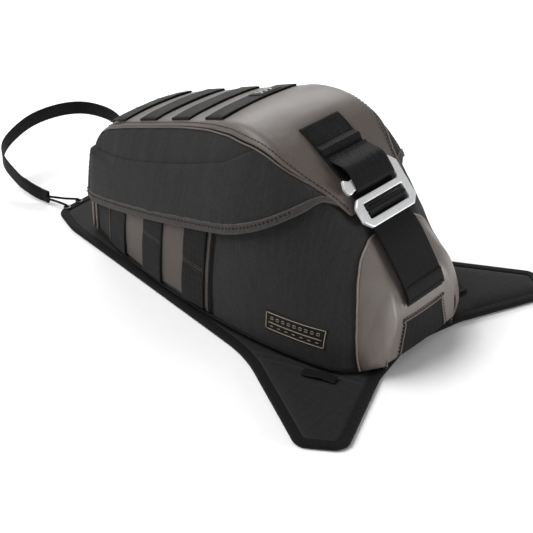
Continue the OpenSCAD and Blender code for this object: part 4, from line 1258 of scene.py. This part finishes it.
def binding_rings(points, inward):
    """The tape folded over the edge: its cut shape, from the underside round the edge to the top."""
    turn = np.radians(np.linspace(-90, 90, 9))
    r = MAT_TOP / 2
    nose = np.stack([r - r * np.cos(turn), r + r * np.sin(turn)], 1)
    over = np.array([[4.5, MAT_TOP + 0.25], [7.2, MAT_TOP + 0.1], [8.3, MAT_TOP - 0.25],
                     [8.9, MAT_TOP - 0.9]])
    under = np.array([[8.9, 0.6], [6.0, 0.0]])
    section = np.concatenate([nose, over, under])
    xy = points[:, None] + inward[:, None] * section[None, :, :1]
    z = np.broadcast_to(section[:, 1], xy.shape[:2])
    to_edge = np.where(section[:, 1] > 1, BIND_W - section[:, 0], 5)
    return np.concatenate([xy, z[..., None]], 2), cloth_map(lengths(points), lengths(section), to_edge)


# Each stretch of the edge belongs to the mat, to a wing, or to the fold between them: the name of its
# tape, the body that it rides on, the CAD node that it stands for and the fold that it lies across
REACH = 15.0
MAT, WING, FOLDED = 0, 1, 3  # where each kind starts in the list
TAPES = [("apron_tape", "bag", ["apron_binding"], None)]
TAPES += [(f"wing_tape_{tag}", f"wing_{tag}", [f"wing_binding_{tag}"], None) for _, tag in SIDES]
TAPES += [(f"fold_tape_{tag}", None, (), tag) for _, tag in SIDES]
owner = np.full(len(edge_line), MAT)
for k, (side, tag) in enumerate(SIDES):
    past = past_fold(edge_line + edge_in * BIND_W / 2, side)
    owner[(np.abs(past) < REACH) & (edge_line[:, 1] * side > 0)] = FOLDED + k
    owner[past >= REACH] = WING + k
first = int(np.argmax(owner != np.roll(owner, 1)))
owner, line_r, in_r = (np.roll(v, -first, axis=0) for v in (owner, edge_line, edge_in))
cuts = [0] + [i for i in range(1, len(owner)) if owner[i] != owner[i - 1]] + [len(owner)]
counts = {}
for a, b in zip(cuts[:-1], cuts[1:]):
    kind, body, nodes, fold = TAPES[owner[a]]
    pick = np.arange(a, b + 1) % len(owner)
    rings, weave = binding_rings(line_r[pick], in_r[pick])
    counts[kind] = counts.get(kind, 0) + 1
    name = f"{kind}_{counts[kind]}"
    loft(name, rings, "binding", body, nodes, weave=weave, blend=fold_blends.get(fold))
    spot = line_r[pick] + in_r[pick] * 7.6
    row = np.column_stack([spot, np.full(len(spot), MAT_TOP + 0.1)]), np.tile(UP, (len(spot), 1))
    stitches(f"{name}_stitches", [row], "thread_dark", body, pitch=3.6, length=2.4, radius=0.34,
             blend=fold_blends.get(fold))

# Pull tabs, eyelets and fasteners
for side, tag in SIDES:
    c, turn = np.array([150.6, 96.4 * side]), math.radians(-18 * side)
    d = np.array([math.cos(turn), math.sin(turn)])
    line = np.array([[*(c + d * a), 7.9 + 0.75 + 1.6 * math.exp(-((a - 2) / 7) ** 2)]
                     for a in np.linspace(-15, 15, 40)])
    strap(f"tab_{tag}", line, (-d[1], d[0], 0), 10, 1.4, "webbing", f"wing_{tag}", [f"pull_tab_{tag}"])


def turned_ring(name, centre, section, material, body, nodes=(), sides=36):
    """A ring turned from a closed section of (radius, height)."""
    a = np.arange(sides) * 2 * math.pi / sides
    section = np.asarray(section, float)
    rings = np.stack([centre[0] + section[None, :, 0] * np.cos(a)[:, None],
                      centre[1] + section[None, :, 0] * np.sin(a)[:, None],
                      np.broadcast_to(section[:, 1], (sides, len(section)))], -1)
    return loft(name, rings, material, body, nodes, ring=True)


flange = rounded([(1.8, 0.4, 0.3), (3.0, 0.4, 0.3), (3.0, 5.1, 0.3), (4.1, 5.1, 0.35), (3.9, 5.9, 0.35),
                  (1.8, 5.9, 0.5)], 4, ring=True)
for side, tag in SIDES:
    for k, (x, y) in enumerate(EYELETS):
        turned_ring(f"eyelet_{tag}_{k + 1}", (x, -side * y), flange, "black_steel", "bag", ["strap_eyelets"])
for name, node, z in (("mat_hook_tape", "mat_fastener", 4.9), ("bag_loop_tape", "bag_fastener", 5.8)):
    for k, (y, x) in enumerate([(-32, -110), (-32, 60), (32, -110), (32, 60)]):
        corners = [(x + i * 55, y + j * 12.5, 3) for i, j in ((-1, -1), (1, -1), (1, 1), (-1, 1))]
        slab(f"{name}_{k + 1}", rounded(corners, 5, ring=True), z,
             lambda p, d, z=z: z + 0.8 - 0.3 * np.exp(-d / 0.8), "hook_loop", "bag", [node], step=8,
             fine=3, margin=3)

# ---------------------------------------------------------------- floor
size = 4000.0
ground = build("floor", [(-size, -size, -0.3), (size, -size, -0.3), (size, size, -0.3), (-size, size, -0.3)],
               [np.array([[0, 1, 2, 3]])], "floor", None)
